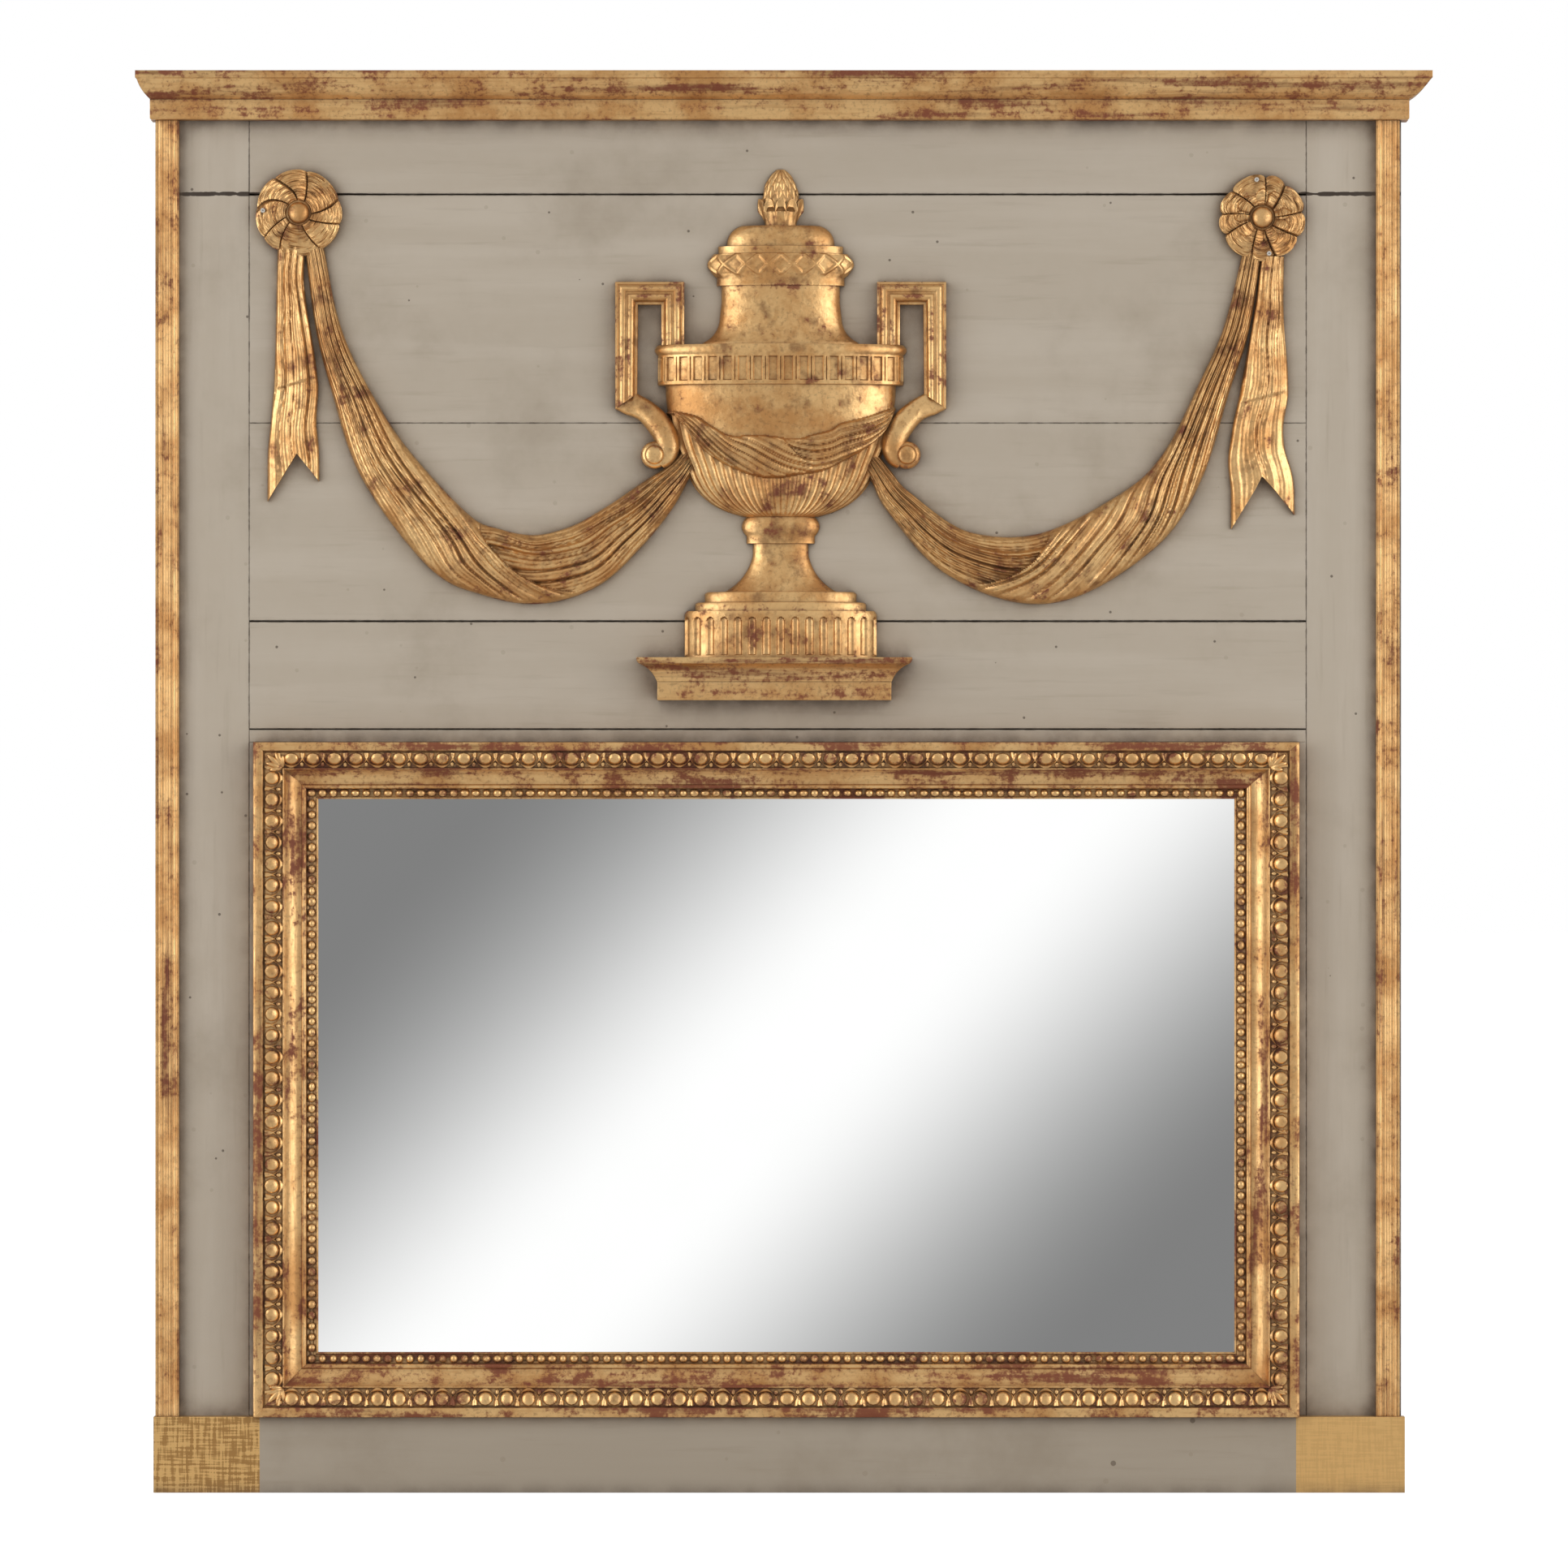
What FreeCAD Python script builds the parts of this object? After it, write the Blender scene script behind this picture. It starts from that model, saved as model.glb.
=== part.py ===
import FreeCAD, Part
import math
import os
import re
import Sketcher

# Painted and parcel-gilt trumeau mirror. X runs to the right across the panel, Y from the front (negative)
# to the wall plane at Y = 0, Z up from the underside of the plinth. Millimetres.

doc = FreeCAD.newDocument("trumeau_mirror")
sheet = doc.addObject("Spreadsheet::Sheet", "sizes")

SIZES = {
    # the framed panel of boards
    "total_height": 1500,
    "panel_left": -660,
    "panel_right": 658,
    "panel_top": 1490,
    "opening_left": -560.9,
    "opening_right": 557.8,
    "opening_top": 807,
    "board_thick": 24,
    "batten_thick": 20,
    "shoulder_gap": 0.4,
    "tongue_thick": 8,
    "tongue_long": 10,
    "tongue_slack": 0.2,
    "rail_bottom": 1373,
    "shrinkage_crack": 1.8,
    "board_joint": 1130,
    "middle_rail_top": 919.6,
    "lip_thick": 10,
    "fillet_top": 805.6,
    # plinth, side strips, cornice
    "plinth_high": 80,
    "plinth_thick": 16,
    "plinth_half": 660.7,
    "strip_wide": 24.5,
    "strip_proud": 12,
    "strip_left": -659,
    "strip_right": 655.5,
    "fascia_bottom": 1449.8,
    "fascia_top": 1471.3,
    "fascia_proud": 18,
    "fascia_left": -664.4,
    "fascia_right": 665.3,
    "crown_proud": 38,
    "crown_left": -678.4,
    "crown_right": 688.2,
    "crown_fillet": 7.5,
    # mirror frame and glass
    "sight_left": -487.5,
    "sight_right": 481.5,
    "sight_bottom": 147.5,
    "sight_top": 732.5,
    "member_wide": 67.5,
    "top_member_wide": 60,
    "frame_proud": 26,
    "sight_proud": 6,
    "rebate_wide": 10,
    "sight_lip": 4,
    "glass_thick": 4,
    "glass_play": 1,
    "block_thick": 12,
    "block_long": 30,
    "block_clear": 2,
    "backboard_thick": 10,
    "backboard_lap": 24,
    # urn, its bracket and its handles
    "urn_axis": 1.6,
    "urn_relief": 0.34,
    "finial_relief": 0.6,
    "bracket_axis": -5.1,
    "bracket_half": 123.4,
    "bracket_crown_half": 146,
    "bracket_bottom": 836.7,
    "bracket_neck": 856.4,
    "bracket_top": 881.7,
    "bracket_proud": 26,
    "bracket_crown_proud": 48,
    "drum_top": 931,
    "foot_top": 1030.8,
    "bowl_top": 1212,
    "neck_top": 1275,
    "lid_top": 1338.4,
    "finial_top": 1399.6,
    "drum_half": 101.7,
    "frieze_half": 130,
    "handle_wide": 24,
    "handle_proud": 19,
    "bar_inner": -112.4,
    "bar_outer": -161.3,
    "bar_top": 1267,
    "volute_across": -131.8,
    "volute_up": 1095,
    "volute_round": 10,
    # swags, tails and rosettes
    "rosette_left_across": -508,
    "rosette_left_up": 1352,
    "rosette_right_across": 510.6,
    "rosette_right_up": 1347,
    "rosette_round": 46,
    "rosette_base": 6,
    "petal_thick": 6,
    "button_round": 11,
    "button_proud": 19,
    "swag_rise": 27,
    "tail_rise": 9,
    # hanging hardware on the back
    "hanger_across": 610,
    "pivot_up": 1270,
    "pivot_back": -13.5,
    "strap_wide": 20,
    "strap_thick": 3,
    "strap_long": 72,
    "ring_wire": 2.2,
    "eye_slack": 0.06,
    "ring_half": 17,
    "ring_reach": 30,
    # battens, cleats and screws
    "batten_across": 365,
    "batten_wide": 70,
    "batten_low": 770,
    "batten_high": 1450,
    "foot_batten_half": 640,
    "cleat_half": 34,
    "cleat_high": 40,
    "cleat_thick": 8,
    "screw_shank": 2.2,
    "screw_head": 4.2,
    "screw_head_thick": 1.8,
    "hanger_screw_long": 20,
    "batten_screw_long": 38,
    "cleat_screw_long": 26,
}
for row, (alias, value) in enumerate(SIZES.items(), start=1):
    sheet.set(f"A{row}", str(value))
    sheet.setAlias(f"A{row}", alias)
doc.recompute()

ARC_CUTS = 4  # straight cuts that stand for one arc of a carved profile
DRUM_FLUTES = 15
FRIEZE_FLUTES = 18
GADROONS = 24
CALYX_LEAVES = 6
PETALS = 9
PETAL_TILT = 13  # degrees that a petal leans on the one behind it
TAIL_FOLDS = 4
SWAG_FOLDS = 5
BACK = "-batten_thick"
FRONT = "-batten_thick - board_thick"
ALONG = {"XY_Plane": "z", "XZ_Plane": "y", "YZ_Plane": "x"}
made = []


def bound(formula):
    """A formula in which each name is read from the sheet."""
    return re.sub(r"[a-z][a-z_]+", lambda name: "sizes." + name.group(0), formula)


def size(formula):
    return float(sheet.evalExpression(bound(formula)))


def keep(piece):
    """Marks an object as one finished piece of the mirror."""
    made.append(piece)
    return piece


def block(label, across, deep, up):
    """A squared piece between its limits along X, Y and Z."""
    piece = doc.addObject("Part::Box", label)
    for side, axis, (low, high) in zip(("Length", "Width", "Height"), "xyz", (across, deep, up)):
        piece.setExpression(side, bound(f"({high}) - ({low})"))
        piece.setExpression(f"Placement.Base.{axis}", bound(low))
    return piece


def draw(sketch, corners):
    """One closed outline. A corner is (across, up) or (across, up, swell). The swell is the tangent of a
    quarter of the angle of the arc to the next corner: over 0 rounds the outline out, under 0 hollows it."""
    spots = [FreeCAD.Vector(size(corner[0]), size(corner[1]), 0) for corner in corners]
    area = sum(here.x * there.y - there.x * here.y for here, there in zip(spots, spots[1:] + spots[:1]))
    edges = []
    rules = []
    for n, corner in enumerate(corners):
        start, end = spots[n], spots[(n + 1) % len(spots)]
        if len(corner) == 3:
            swell = math.copysign(corner[2], corner[2] * area)
            chord = end - start
            middle = (start + end) / 2 + FreeCAD.Vector(chord.y, -chord.x, 0) * (swell / 2)
            ends = (start, middle, end) if swell > 0 else (end, middle, start)
            edge = sketch.addGeometry(Part.Arc(*ends))
            rules.append(Sketcher.Constraint("Radius", edge, sketch.Geometry[edge].Radius))
            edges.append((edge, 1, 2) if swell > 0 else (edge, 2, 1))
        else:
            edges.append((sketch.addGeometry(Part.LineSegment(start, end)), 1, 2))
    bindings = []
    for n, (edge, first, last) in enumerate(edges):
        following, meeting = edges[(n + 1) % len(edges)][:2]
        rules.append(Sketcher.Constraint("Coincident", edge, last, following, meeting))
        for kind, formula, place in zip(("DistanceX", "DistanceY"), corners[n], spots[n]):
            bindings.append((len(rules), formula))
            rules.append(Sketcher.Constraint(kind, -1, 1, edge, first, place))
    before = len(sketch.Constraints)
    sketch.addConstraint(rules)
    for index, formula in bindings:
        sketch.setExpression(f"Constraints[{before + index}]", bound(formula))


def sketch_on(body, role, name, outlines):
    plane = next(feature for feature in body.Origin.OriginFeatures if feature.Role == role)
    sketch = body.newObject("Sketcher::SketchObject", name)
    sketch.AttachmentSupport = [(plane, "")]
    sketch.MapMode = "FlatFace"
    for corners in outlines:
        draw(sketch, corners)
    return sketch


def padded(label, role, corners, length):
    body = doc.addObject("PartDesign::Body", label)
    pad = body.newObject("PartDesign::Pad", label + "_run")
    pad.Profile = sketch_on(body, role, label + "_section", [corners])
    pad.setExpression("Length", bound(length))
    return body


def run(label, role, corners, start, length):
    """A length of a section. It starts at start and runs along X, up Z, or forward from the wall."""
    body = padded(label, role, corners, length)
    body.setExpression("Placement.Base." + ALONG[role], bound(start))
    return body


def cut_through(body, role, name, outlines):
    """Cuts outlines right through a body, on both sides of their plane."""
    doc.recompute()
    before = body.Shape.Volume
    pocket = body.newObject("PartDesign::Pocket", name)
    pocket.Profile = sketch_on(body, role, name + "_outline", outlines)
    pocket.Type = "ThroughAll"
    pocket.Midplane = True
    doc.recompute()
    if body.Shape.Volume > before - 1:
        raise RuntimeError(name + " cuts nothing")


def boolean(kind, label, base, tool):
    piece = doc.addObject(kind, label)
    piece.Base = base
    piece.Tool = tool
    return piece


def joined(label, parts):
    piece = doc.addObject("Part::MultiFuse", label)
    piece.Shapes = parts
    return piece


def group(label, parts):
    piece = doc.addObject("Part::Compound", label)
    piece.Links = parts
    return piece


def solid(label, shape):
    """A carved piece whose solid is worked out from curves."""
    piece = doc.addObject("Part::Feature", label)
    piece.Shape = shape
    return piece


# ---- Panel of boards ----------------------------------------------------------------------------------
# Two stiles with a groove along the inner edge take the tongued ends of the horizontal rails and boards.


def stile(label, outer, inner, inward):
    """inward is 1 where the panel lies towards +X of the stile, else -1."""
    middle = f"({FRONT} + ({BACK})) / 2"
    half = "(tongue_thick / 2 + tongue_slack)"
    bottom = f"{inner} - {inward} * tongue_long"
    corners = [
        (outer, FRONT),
        (inner, FRONT),
        (inner, f"{middle} - {half}"),
        (bottom, f"{middle} - {half}"),
        (bottom, f"{middle} + {half}"),
        (inner, f"{middle} + {half}"),
        (inner, BACK),
        (outer, BACK),
    ]
    keep(run(label, "XY_Plane", corners, "0", "panel_top"))


def board_section(low, high, groove, tongue_up, lip_down):
    """A board's section: an optional groove in its lower edge, a tongue of tongue_up on its upper edge
    and a rear lip that hangs lip_down below it."""
    middle = f"({FRONT} + ({BACK})) / 2"
    half = "tongue_thick / 2"
    corners = [(FRONT, low)]
    if groove:
        wide = f"({half} + tongue_slack)"
        corners += [(f"{middle} - {wide}", low), (f"{middle} - {wide}", f"{low} + tongue_long")]
        corners += [(f"{middle} + {wide}", f"{low} + tongue_long"), (f"{middle} + {wide}", low)]
    if lip_down:
        corners += [(f"{BACK} - lip_thick", low), (f"{BACK} - lip_thick", f"{low} - {lip_down}")]
        corners += [(BACK, f"{low} - {lip_down}")]
    else:
        corners += [(BACK, low)]
    corners += [(BACK, high)]
    if tongue_up:
        corners += [(f"{middle} + {half}", high), (f"{middle} + {half}", f"{high} + {tongue_up}")]
        corners += [(f"{middle} - {half}", f"{high} + {tongue_up}"), (f"{middle} - {half}", high)]
    corners += [(FRONT, high)]
    return corners


def board(label, low, high, groove=False, tongue_up="", lip_down=""):
    """A board from stile to stile, its ends cut back to tongues that reach the bottom of the grooves."""
    left, right = "opening_left - tongue_long", "opening_right + tongue_long"
    body = run(label, "YZ_Plane", board_section(low, high, groove, tongue_up, lip_down),
               left, f"({right}) - ({left})")
    middle = f"({FRONT} + ({BACK})) / 2"
    shoulder = "tongue_long + shoulder_gap"
    far = f"({right}) - ({left}) - ({shoulder})"
    cheeks = []
    for near, end in (("-1", shoulder), (far, f"({far}) + ({shoulder}) + 1")):
        for inner, outer in ((f"{middle} + tongue_thick / 2", "1"), ("-99", f"{middle} - tongue_thick / 2")):
            cheeks.append([(near, inner), (end, inner), (end, outer), (near, outer)])
    cut_through(body, "XY_Plane", label + "_cheeks", cheeks)
    return keep(body)


stile("left_stile", "panel_left", "opening_left", "1")
stile("right_stile", "panel_right", "opening_right", "-1")
board("top_rail", "rail_bottom", "panel_top", groove=True)
board("upper_board", "board_joint + shoulder_gap", "rail_bottom - shrinkage_crack", groove=True,
      tongue_up="shrinkage_crack + tongue_long")
board("lower_board", "middle_rail_top + shrinkage_crack", "board_joint", groove=True,
      tongue_up="shoulder_gap + tongue_long")
board("middle_rail", "opening_top", "middle_rail_top", tongue_up="shrinkage_crack + tongue_long",
      lip_down="(opening_top - sight_top - top_member_wide)")
board("bottom_rail", "0", "plinth_high")

# Packing fillets fill the slack between the opening and the mirror frame.
frame_top = "sight_top + top_member_wide"
frame_left = "sight_left - member_wide"
frame_right = "sight_right + member_wide"
frame_bottom = "sight_bottom - member_wide"
keep(block("packing_left", ("opening_left + shoulder_gap", frame_left), (FRONT, BACK),
           ("plinth_high", frame_top)))
keep(block("packing_right", (frame_right, "opening_right - shoulder_gap"), (FRONT, BACK),
           ("plinth_high", frame_top)))
keep(block("packing_top", ("opening_left + shoulder_gap", "opening_right - shoulder_gap"),
           (FRONT, f"{BACK} - lip_thick"), (frame_top, "fillet_top")))

# The plinth board is planted on the feet of the stiles and on the bottom rail.
keep(block("plinth_board", ("-plinth_half", "plinth_half"), (f"{FRONT} - plinth_thick", FRONT),
           ("0", "plinth_high")))


# ---- Reeded side strips -------------------------------------------------------------------------------
# A gilt strip up each side: a fillet at the outside, a bead, three fine reeds and an inner bead.


def reeded_strip(label, outer, inward):
    """Reeds as arcs that rise from the groove lines; widths are shares of the strip's width."""
    shares = [0.10, 0.28, 0.36, 0.46, 0.56, 0.66, 0.74, 0.94]
    crest = f"{FRONT} - strip_proud + 1"
    valley = f"{FRONT} - strip_proud + 2.4"
    at = [f"{outer} + {inward} * strip_wide * {share}" for share in shares]
    inner = f"{outer} + {inward} * strip_wide"
    corners = [(outer, FRONT), (outer, crest), (at[0], crest), (at[0], valley, 0.75)]
    corners += [(at[1], valley), (at[2], valley, 0.75), (at[3], valley, 0.75), (at[4], valley, 0.75)]
    corners += [(at[5], valley), (at[6], valley, 0.75), (at[7], valley), (inner, valley), (inner, FRONT)]
    keep(run(label, "XY_Plane", corners, "plinth_high", "fascia_bottom - plinth_high"))


reeded_strip("reeded_strip_left", "strip_left", 1)
reeded_strip("reeded_strip_right", "strip_right", -1)


# ---- Cornice ------------------------------------------------------------------------------------------
# Each returned moulding is what its front section and its outline in elevation have in common, so the
# ends turn the corner with the outline's own profile. Plain returns carry it back to the wall side.


def returned(label, section, elevation, wide, proud):
    """section is in (Y, Z), elevation in (X, Z)."""
    front = run(label + "_front", "YZ_Plane", section, wide[0], f"({wide[1]}) - ({wide[0]})")
    ends = run(label + "_ends", "XZ_Plane", elevation, FRONT, proud)
    return keep(boolean("Part::Common", label, front, ends))


face = f"{FRONT} - fascia_proud"
returned("cornice_fascia",
         [(FRONT, "fascia_bottom"), (FRONT, "fascia_top"), (face, "fascia_top"),
          (face, "fascia_bottom + 2", 0.4), (f"{face} + 2", "fascia_bottom")],
         [("fascia_left + 2", "fascia_bottom"), ("fascia_right - 2", "fascia_bottom", 0.4),
          ("fascia_right", "fascia_bottom + 2"), ("fascia_right", "fascia_top"),
          ("fascia_left", "fascia_top"), ("fascia_left", "fascia_bottom + 2", 0.4)],
         ("fascia_left", "fascia_right"), "fascia_proud")
band = "total_height - crown_fillet"
returned("cornice_crown",
         [(FRONT, "fascia_top"), (FRONT, "total_height"), (f"{FRONT} - crown_proud", "total_height"),
          (f"{FRONT} - crown_proud", band), (f"{FRONT} - crown_proud + 1.5", f"{band} - 1", 0.16),
          (f"{face} - 1", "fascia_top")],
         [("fascia_left + 0.4", "fascia_top"), ("fascia_right - 0.4", "fascia_top", 0.14),
          ("crown_right - 1.5", f"{band} - 1"), ("crown_right", band), ("crown_right", "total_height"),
          ("crown_left", "total_height"), ("crown_left", band), ("crown_left + 1.5", f"{band} - 1", 0.16)],
         ("crown_left", "crown_right"), "crown_proud")

for side, edge, fascia_edge, crown_edge, sign in (
        ("left", "panel_left", "fascia_left", "crown_left", 1),
        ("right", "panel_right", "fascia_right", "crown_right", -1)):
    keep(block(f"fascia_return_{side}", sorted((edge, fascia_edge), key=size), (FRONT, BACK),
               ("fascia_bottom + 0.5", "fascia_top")))
    crown_end = [(edge, "fascia_top"), (edge, "total_height"), (crown_edge, "total_height"),
                 (crown_edge, band), (f"{crown_edge} + {1.5 * sign}", f"{band} - 1", 0.15),
                 (f"{fascia_edge} + {0.4 * sign}", "fascia_top")]
    keep(run(f"crown_return_{side}", "XZ_Plane", crown_end, BACK, "board_thick"))
keep(block("cornice_cap", ("panel_left", "panel_right"), (FRONT, BACK), ("panel_top", "total_height")))


# ---- Mirror frame -------------------------------------------------------------------------------------
# Four mitred members of one section. From the sight edge outwards: a thin fillet, the hollow that carries
# the pearls, a deep cove, the ovolo that carries the eggs, and a flat outer band. The rebate behind the
# sight edge holds the glass.


def frame_section(wide):
    """(outwards from the sight edge, Y) round the section; the bands before it keep their widths."""
    lip = f"{FRONT} - sight_proud"
    crest = f"{FRONT} - frame_proud"
    return [
        ("0", lip), ("3.5", lip), ("4.5", f"{lip} + 1", -0.3), ("15.5", f"{lip} - 1.5"),
        ("16.5", f"{lip} - 3.5", -0.28), ("37", f"{crest} + 5.5"), ("38.5", f"{crest} + 5.5", 0.25),
        ("56", f"{crest} + 1"), ("57", f"{crest}"), (wide, crest), (wide, BACK),
        ("rebate_wide", BACK), ("rebate_wide", f"{lip} + sight_lip"), ("0", f"{lip} + sight_lip"),
    ]


def frame_member(label, side):
    sight = f"sight_{side}"
    outward = 1 if side in ("right", "top") else -1
    upright = side in ("left", "right")
    wide = "top_member_wide" if side == "top" else "member_wide"
    section = []
    for corner in frame_section(wide):
        away, deep = f"{sight} + ({outward}) * ({corner[0]})", corner[1]
        section.append(((away, deep) if upright else (deep, away)) + corner[2:])
    far = "200"
    if upright:
        body = run(label, "XY_Plane", section, frame_bottom, f"({frame_top}) - ({frame_bottom})")
        ends = [("sight_bottom", -1), ("sight_top", 1)]
        offset = frame_bottom
        cuts = [[(f"{sight} - {outward} * 5", f"{z} - ({offset}) - {5 * way}"),
                 (f"{sight} + {outward} * {far}", f"{z} - ({offset}) + {way} * {far}"),
                 (f"{sight} - {outward} * 5", f"{z} - ({offset}) + {way} * {far}")] for z, way in ends]
    else:
        body = run(label, "YZ_Plane", section, frame_left, f"({frame_right}) - ({frame_left})")
        ends = [("sight_left", -1), ("sight_right", 1)]
        offset = frame_left
        cuts = [[(f"{x} - ({offset}) - {5 * way}", f"{sight} - {outward} * 5"),
                 (f"{x} - ({offset}) + {way} * {far}", f"{sight} + {outward} * {far}"),
                 (f"{x} - ({offset}) + {way} * {far}", f"{sight} - {outward} * 5")] for x, way in ends]
    cut_through(body, "XZ_Plane", label + "_mitres", cuts)
    return keep(body)


for side in ("left", "right", "top", "bottom"):
    frame_member("frame_" + side, side)

rebate_floor = f"{FRONT} - sight_proud + sight_lip"
glass_across = ("sight_left - rebate_wide + glass_play", "sight_right + rebate_wide - glass_play")
glass_up = ("sight_bottom - rebate_wide", "sight_top + rebate_wide - glass_play")
keep(block("mirror_glass", glass_across, (rebate_floor, f"{rebate_floor} + glass_thick"), glass_up))

# Small blocks wedge the glass in its rebate.
blocks = []
glass_back = f"{rebate_floor} + glass_thick"
in_rebate = {"bottom": ("sight_bottom - rebate_wide", "sight_bottom - block_clear"),
             "top": ("sight_top + block_clear", "sight_top + rebate_wide"),
             "left": ("sight_left - rebate_wide", "sight_left - block_clear"),
             "right": ("sight_right + block_clear", "sight_right + rebate_wide")}
for number, share in enumerate((0.2, 0.5, 0.8)):
    level = f"(sight_left * {1 - share} + sight_right * {share})"
    upright = f"(sight_bottom * {1 - share} + sight_top * {share})"
    for side, deep in in_rebate.items():
        middle = level if side in ("bottom", "top") else upright
        run_of_block = (f"{middle} - block_long / 2", f"{middle} + block_long / 2")
        across, up = (run_of_block, deep) if side in ("bottom", "top") else (deep, run_of_block)
        blocks.append(block(f"glazing_block_{side}_{number + 1}", across,
                            (glass_back, f"{glass_back} + block_thick"), up))
keep(group("glazing_blocks", blocks))


# ---- Bracket shelf, drum and urn ----------------------------------------------------------------------
# The urn is a stack of carved blocks, each a half round turned about the urn's axis and flattened.

base_face = f"{FRONT} - bracket_proud"
crown_face = f"{FRONT} - bracket_crown_proud"
shelf_left, shelf_right = "bracket_axis - bracket_half", "bracket_axis + bracket_half"
crown_left, crown_right = "bracket_axis - bracket_crown_half", "bracket_axis + bracket_crown_half"
returned("bracket_shelf",
         [(FRONT, "bracket_bottom"), (FRONT, "bracket_top"), (f"{crown_face} + 1", "bracket_top", 0.3),
          (f"{crown_face} + 3.5", "bracket_top - 6.5"), (f"{crown_face} + 6", "bracket_top - 7.5", -0.2),
          (f"{base_face} - 1", "bracket_neck"), (base_face, "bracket_neck"), (base_face, "bracket_bottom")],
         [(shelf_left, "bracket_bottom"), (shelf_right, "bracket_bottom"), (shelf_right, "bracket_neck"),
          (f"{shelf_right} + 0.5", "bracket_neck", -0.2), (f"{crown_right} - 6", "bracket_top - 7.5"),
          (f"{crown_right} - 3.5", "bracket_top - 6.5", 0.3), (f"{crown_right} - 1", "bracket_top"),
          (f"{crown_left} + 1", "bracket_top", 0.3), (f"{crown_left} + 3.5", "bracket_top - 6.5"),
          (f"{crown_left} + 6", "bracket_top - 7.5", -0.2), (f"{shelf_left} - 0.5", "bracket_neck"),
          (shelf_left, "bracket_neck")],
         (crown_left, crown_right), "bracket_crown_proud")


def cuts(profile):
    """A rising profile as points, each arc broken into short straight cuts. Corners are as in draw."""
    corners = [(size(corner[0]), size(corner[1])) + corner[2:] for corner in profile]
    spots = []
    for corner, end in zip(corners, corners[1:] + corners[-1:]):
        x, y = corner[:2]
        spots.append((x, y))
        if len(corner) == 3:
            step_x, step_y = end[0] - x, end[1] - y
            for n in range(1, ARC_CUTS):
                share = n / ARC_CUTS
                bow = 2 * corner[2] * share * (1 - share)
                spots.append((x + step_x * share + step_y * bow, y + step_y * share - step_x * bow))
    return spots


def faceted(label, rows):
    """A solid with a flat back, cut in flat facets between rows of points. Each row crosses the front."""
    rings = [rows[0], rows[-1], [row[0] for row in rows] + [row[-1] for row in reversed(rows)]]
    for low, high in zip(rows, rows[1:]):
        for n in range(len(low) - 1):
            near, far, above, beside = low[n], low[n + 1], high[n + 1], high[n]
            square = (far - near).cross(above - near).normalize()
            if abs(square.dot(beside - near)) < 1e-7:
                rings.append([near, far, above, beside])
            else:
                rings += [[near, far, above], [near, above, beside]]
    shell = Part.makeCompound([Part.Face(Part.makePolygon(ring + ring[:1])) for ring in rings])
    shell.sewShape()
    shape = Part.Solid(shell.Shells[0])
    if shape.Volume < 0:
        shape.reverse()
    return solid(label, shape)


def oval(half, up, ratio, sides, hollow=0.0, lobes=0):
    """The front half of an oval round the urn's axis, from left to right. With lobes, every other point is
    drawn in by the share hollow, which leaves lobes sharp-edged flutes."""
    spots = []
    count = 2 * lobes if lobes else sides
    for n in range(count + 1):
        turn = math.pi * (1 - n / count)
        reach = half * (1 - hollow) if n % 2 else half
        spots.append(FreeCAD.Vector(size("urn_axis") + reach * math.cos(turn),
                                    size(FRONT) - reach * ratio * math.sin(turn), up))
    return spots


def relief(label, profile, ratio="urn_relief", sides=20):
    """A carved piece of the urn: a profile in (from the axis, Z), turned and flattened by ratio."""
    return faceted(label, [oval(half, up, size(ratio), sides) for half, up in cuts(profile)])


def flutes(label, half, count, wide, deep, low, high, arched):
    """Cutters for a row of upright flutes, evenly spaced round an oval wall of half width half."""
    across, forward = size(half), size(half) * size("urn_relief")
    fine = [(across * math.cos(math.pi * n / 720), forward * math.sin(math.pi * n / 720)) for n in range(721)]
    reach = [0.0]
    for before, after in zip(fine, fine[1:]):
        reach.append(reach[-1] + math.dist(before, after))
    foot, head = size(low), size(high)
    turns = (0, 45, 90, 135, 180) if arched else (0, 180)
    mouth = [FreeCAD.Vector(-wide / 2, 0, foot), FreeCAD.Vector(wide / 2, 0, foot)]
    for turn in turns:
        lift = math.sin(math.radians(turn)) * wide / 2
        mouth.append(FreeCAD.Vector(math.cos(math.radians(turn)) * wide / 2, 0, head + lift))
    cutter = Part.Face(Part.makePolygon(mouth + mouth[:1])).extrude(FreeCAD.Vector(0, -4 * deep, 0))
    cutters = []
    for n in range(count):
        wanted = reach[-1] * (n + 0.5) / count
        x, y = fine[min(range(721), key=lambda k: abs(reach[k] - wanted))]
        lean = math.degrees(math.atan2(x / across ** 2, y / forward ** 2))
        turned = cutter.copy()
        turned.translate(FreeCAD.Vector(0, deep, 0))
        turned.rotate(FreeCAD.Vector(0, 0, 0), FreeCAD.Vector(0, 0, 1), lean)
        turned.translate(FreeCAD.Vector(size("urn_axis") + x, size(FRONT) - y, 0))
        cutters.append(turned)
    return solid(label + "_flutes", Part.makeCompound(cutters))


# Fluted drum that the urn stands on.
drum = relief("drum_core", [("drum_half", "bracket_top"), ("drum_half", "drum_top - 4"),
                            ("drum_half - 2.2", "drum_top")])
keep(boolean("Part::Cut", "urn_drum", drum,
             flutes("drum", "drum_half", DRUM_FLUTES, 9, 2.6, "bracket_top + 3", "drum_top - 10", True)))

# Foot: two socle steps, a hollow trumpet stem, a fillet and a knop.
step = "drum_top"
keep(relief("urn_foot", [
    ("90.5", step), ("90.5", f"{step} + 7"), ("88.5", f"{step} + 9"), ("80.2", f"{step} + 9.5"),
    ("80.2", f"{step} + 18"), ("78", f"{step} + 20"), ("59", f"{step} + 20.5", -0.22),
    ("29.5", f"{step} + 58"), ("29.2", "foot_top - 28.6"), ("36", "foot_top - 28.2"),
    ("36", "foot_top - 20.5", 0.5), ("36", "foot_top")]))

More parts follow.
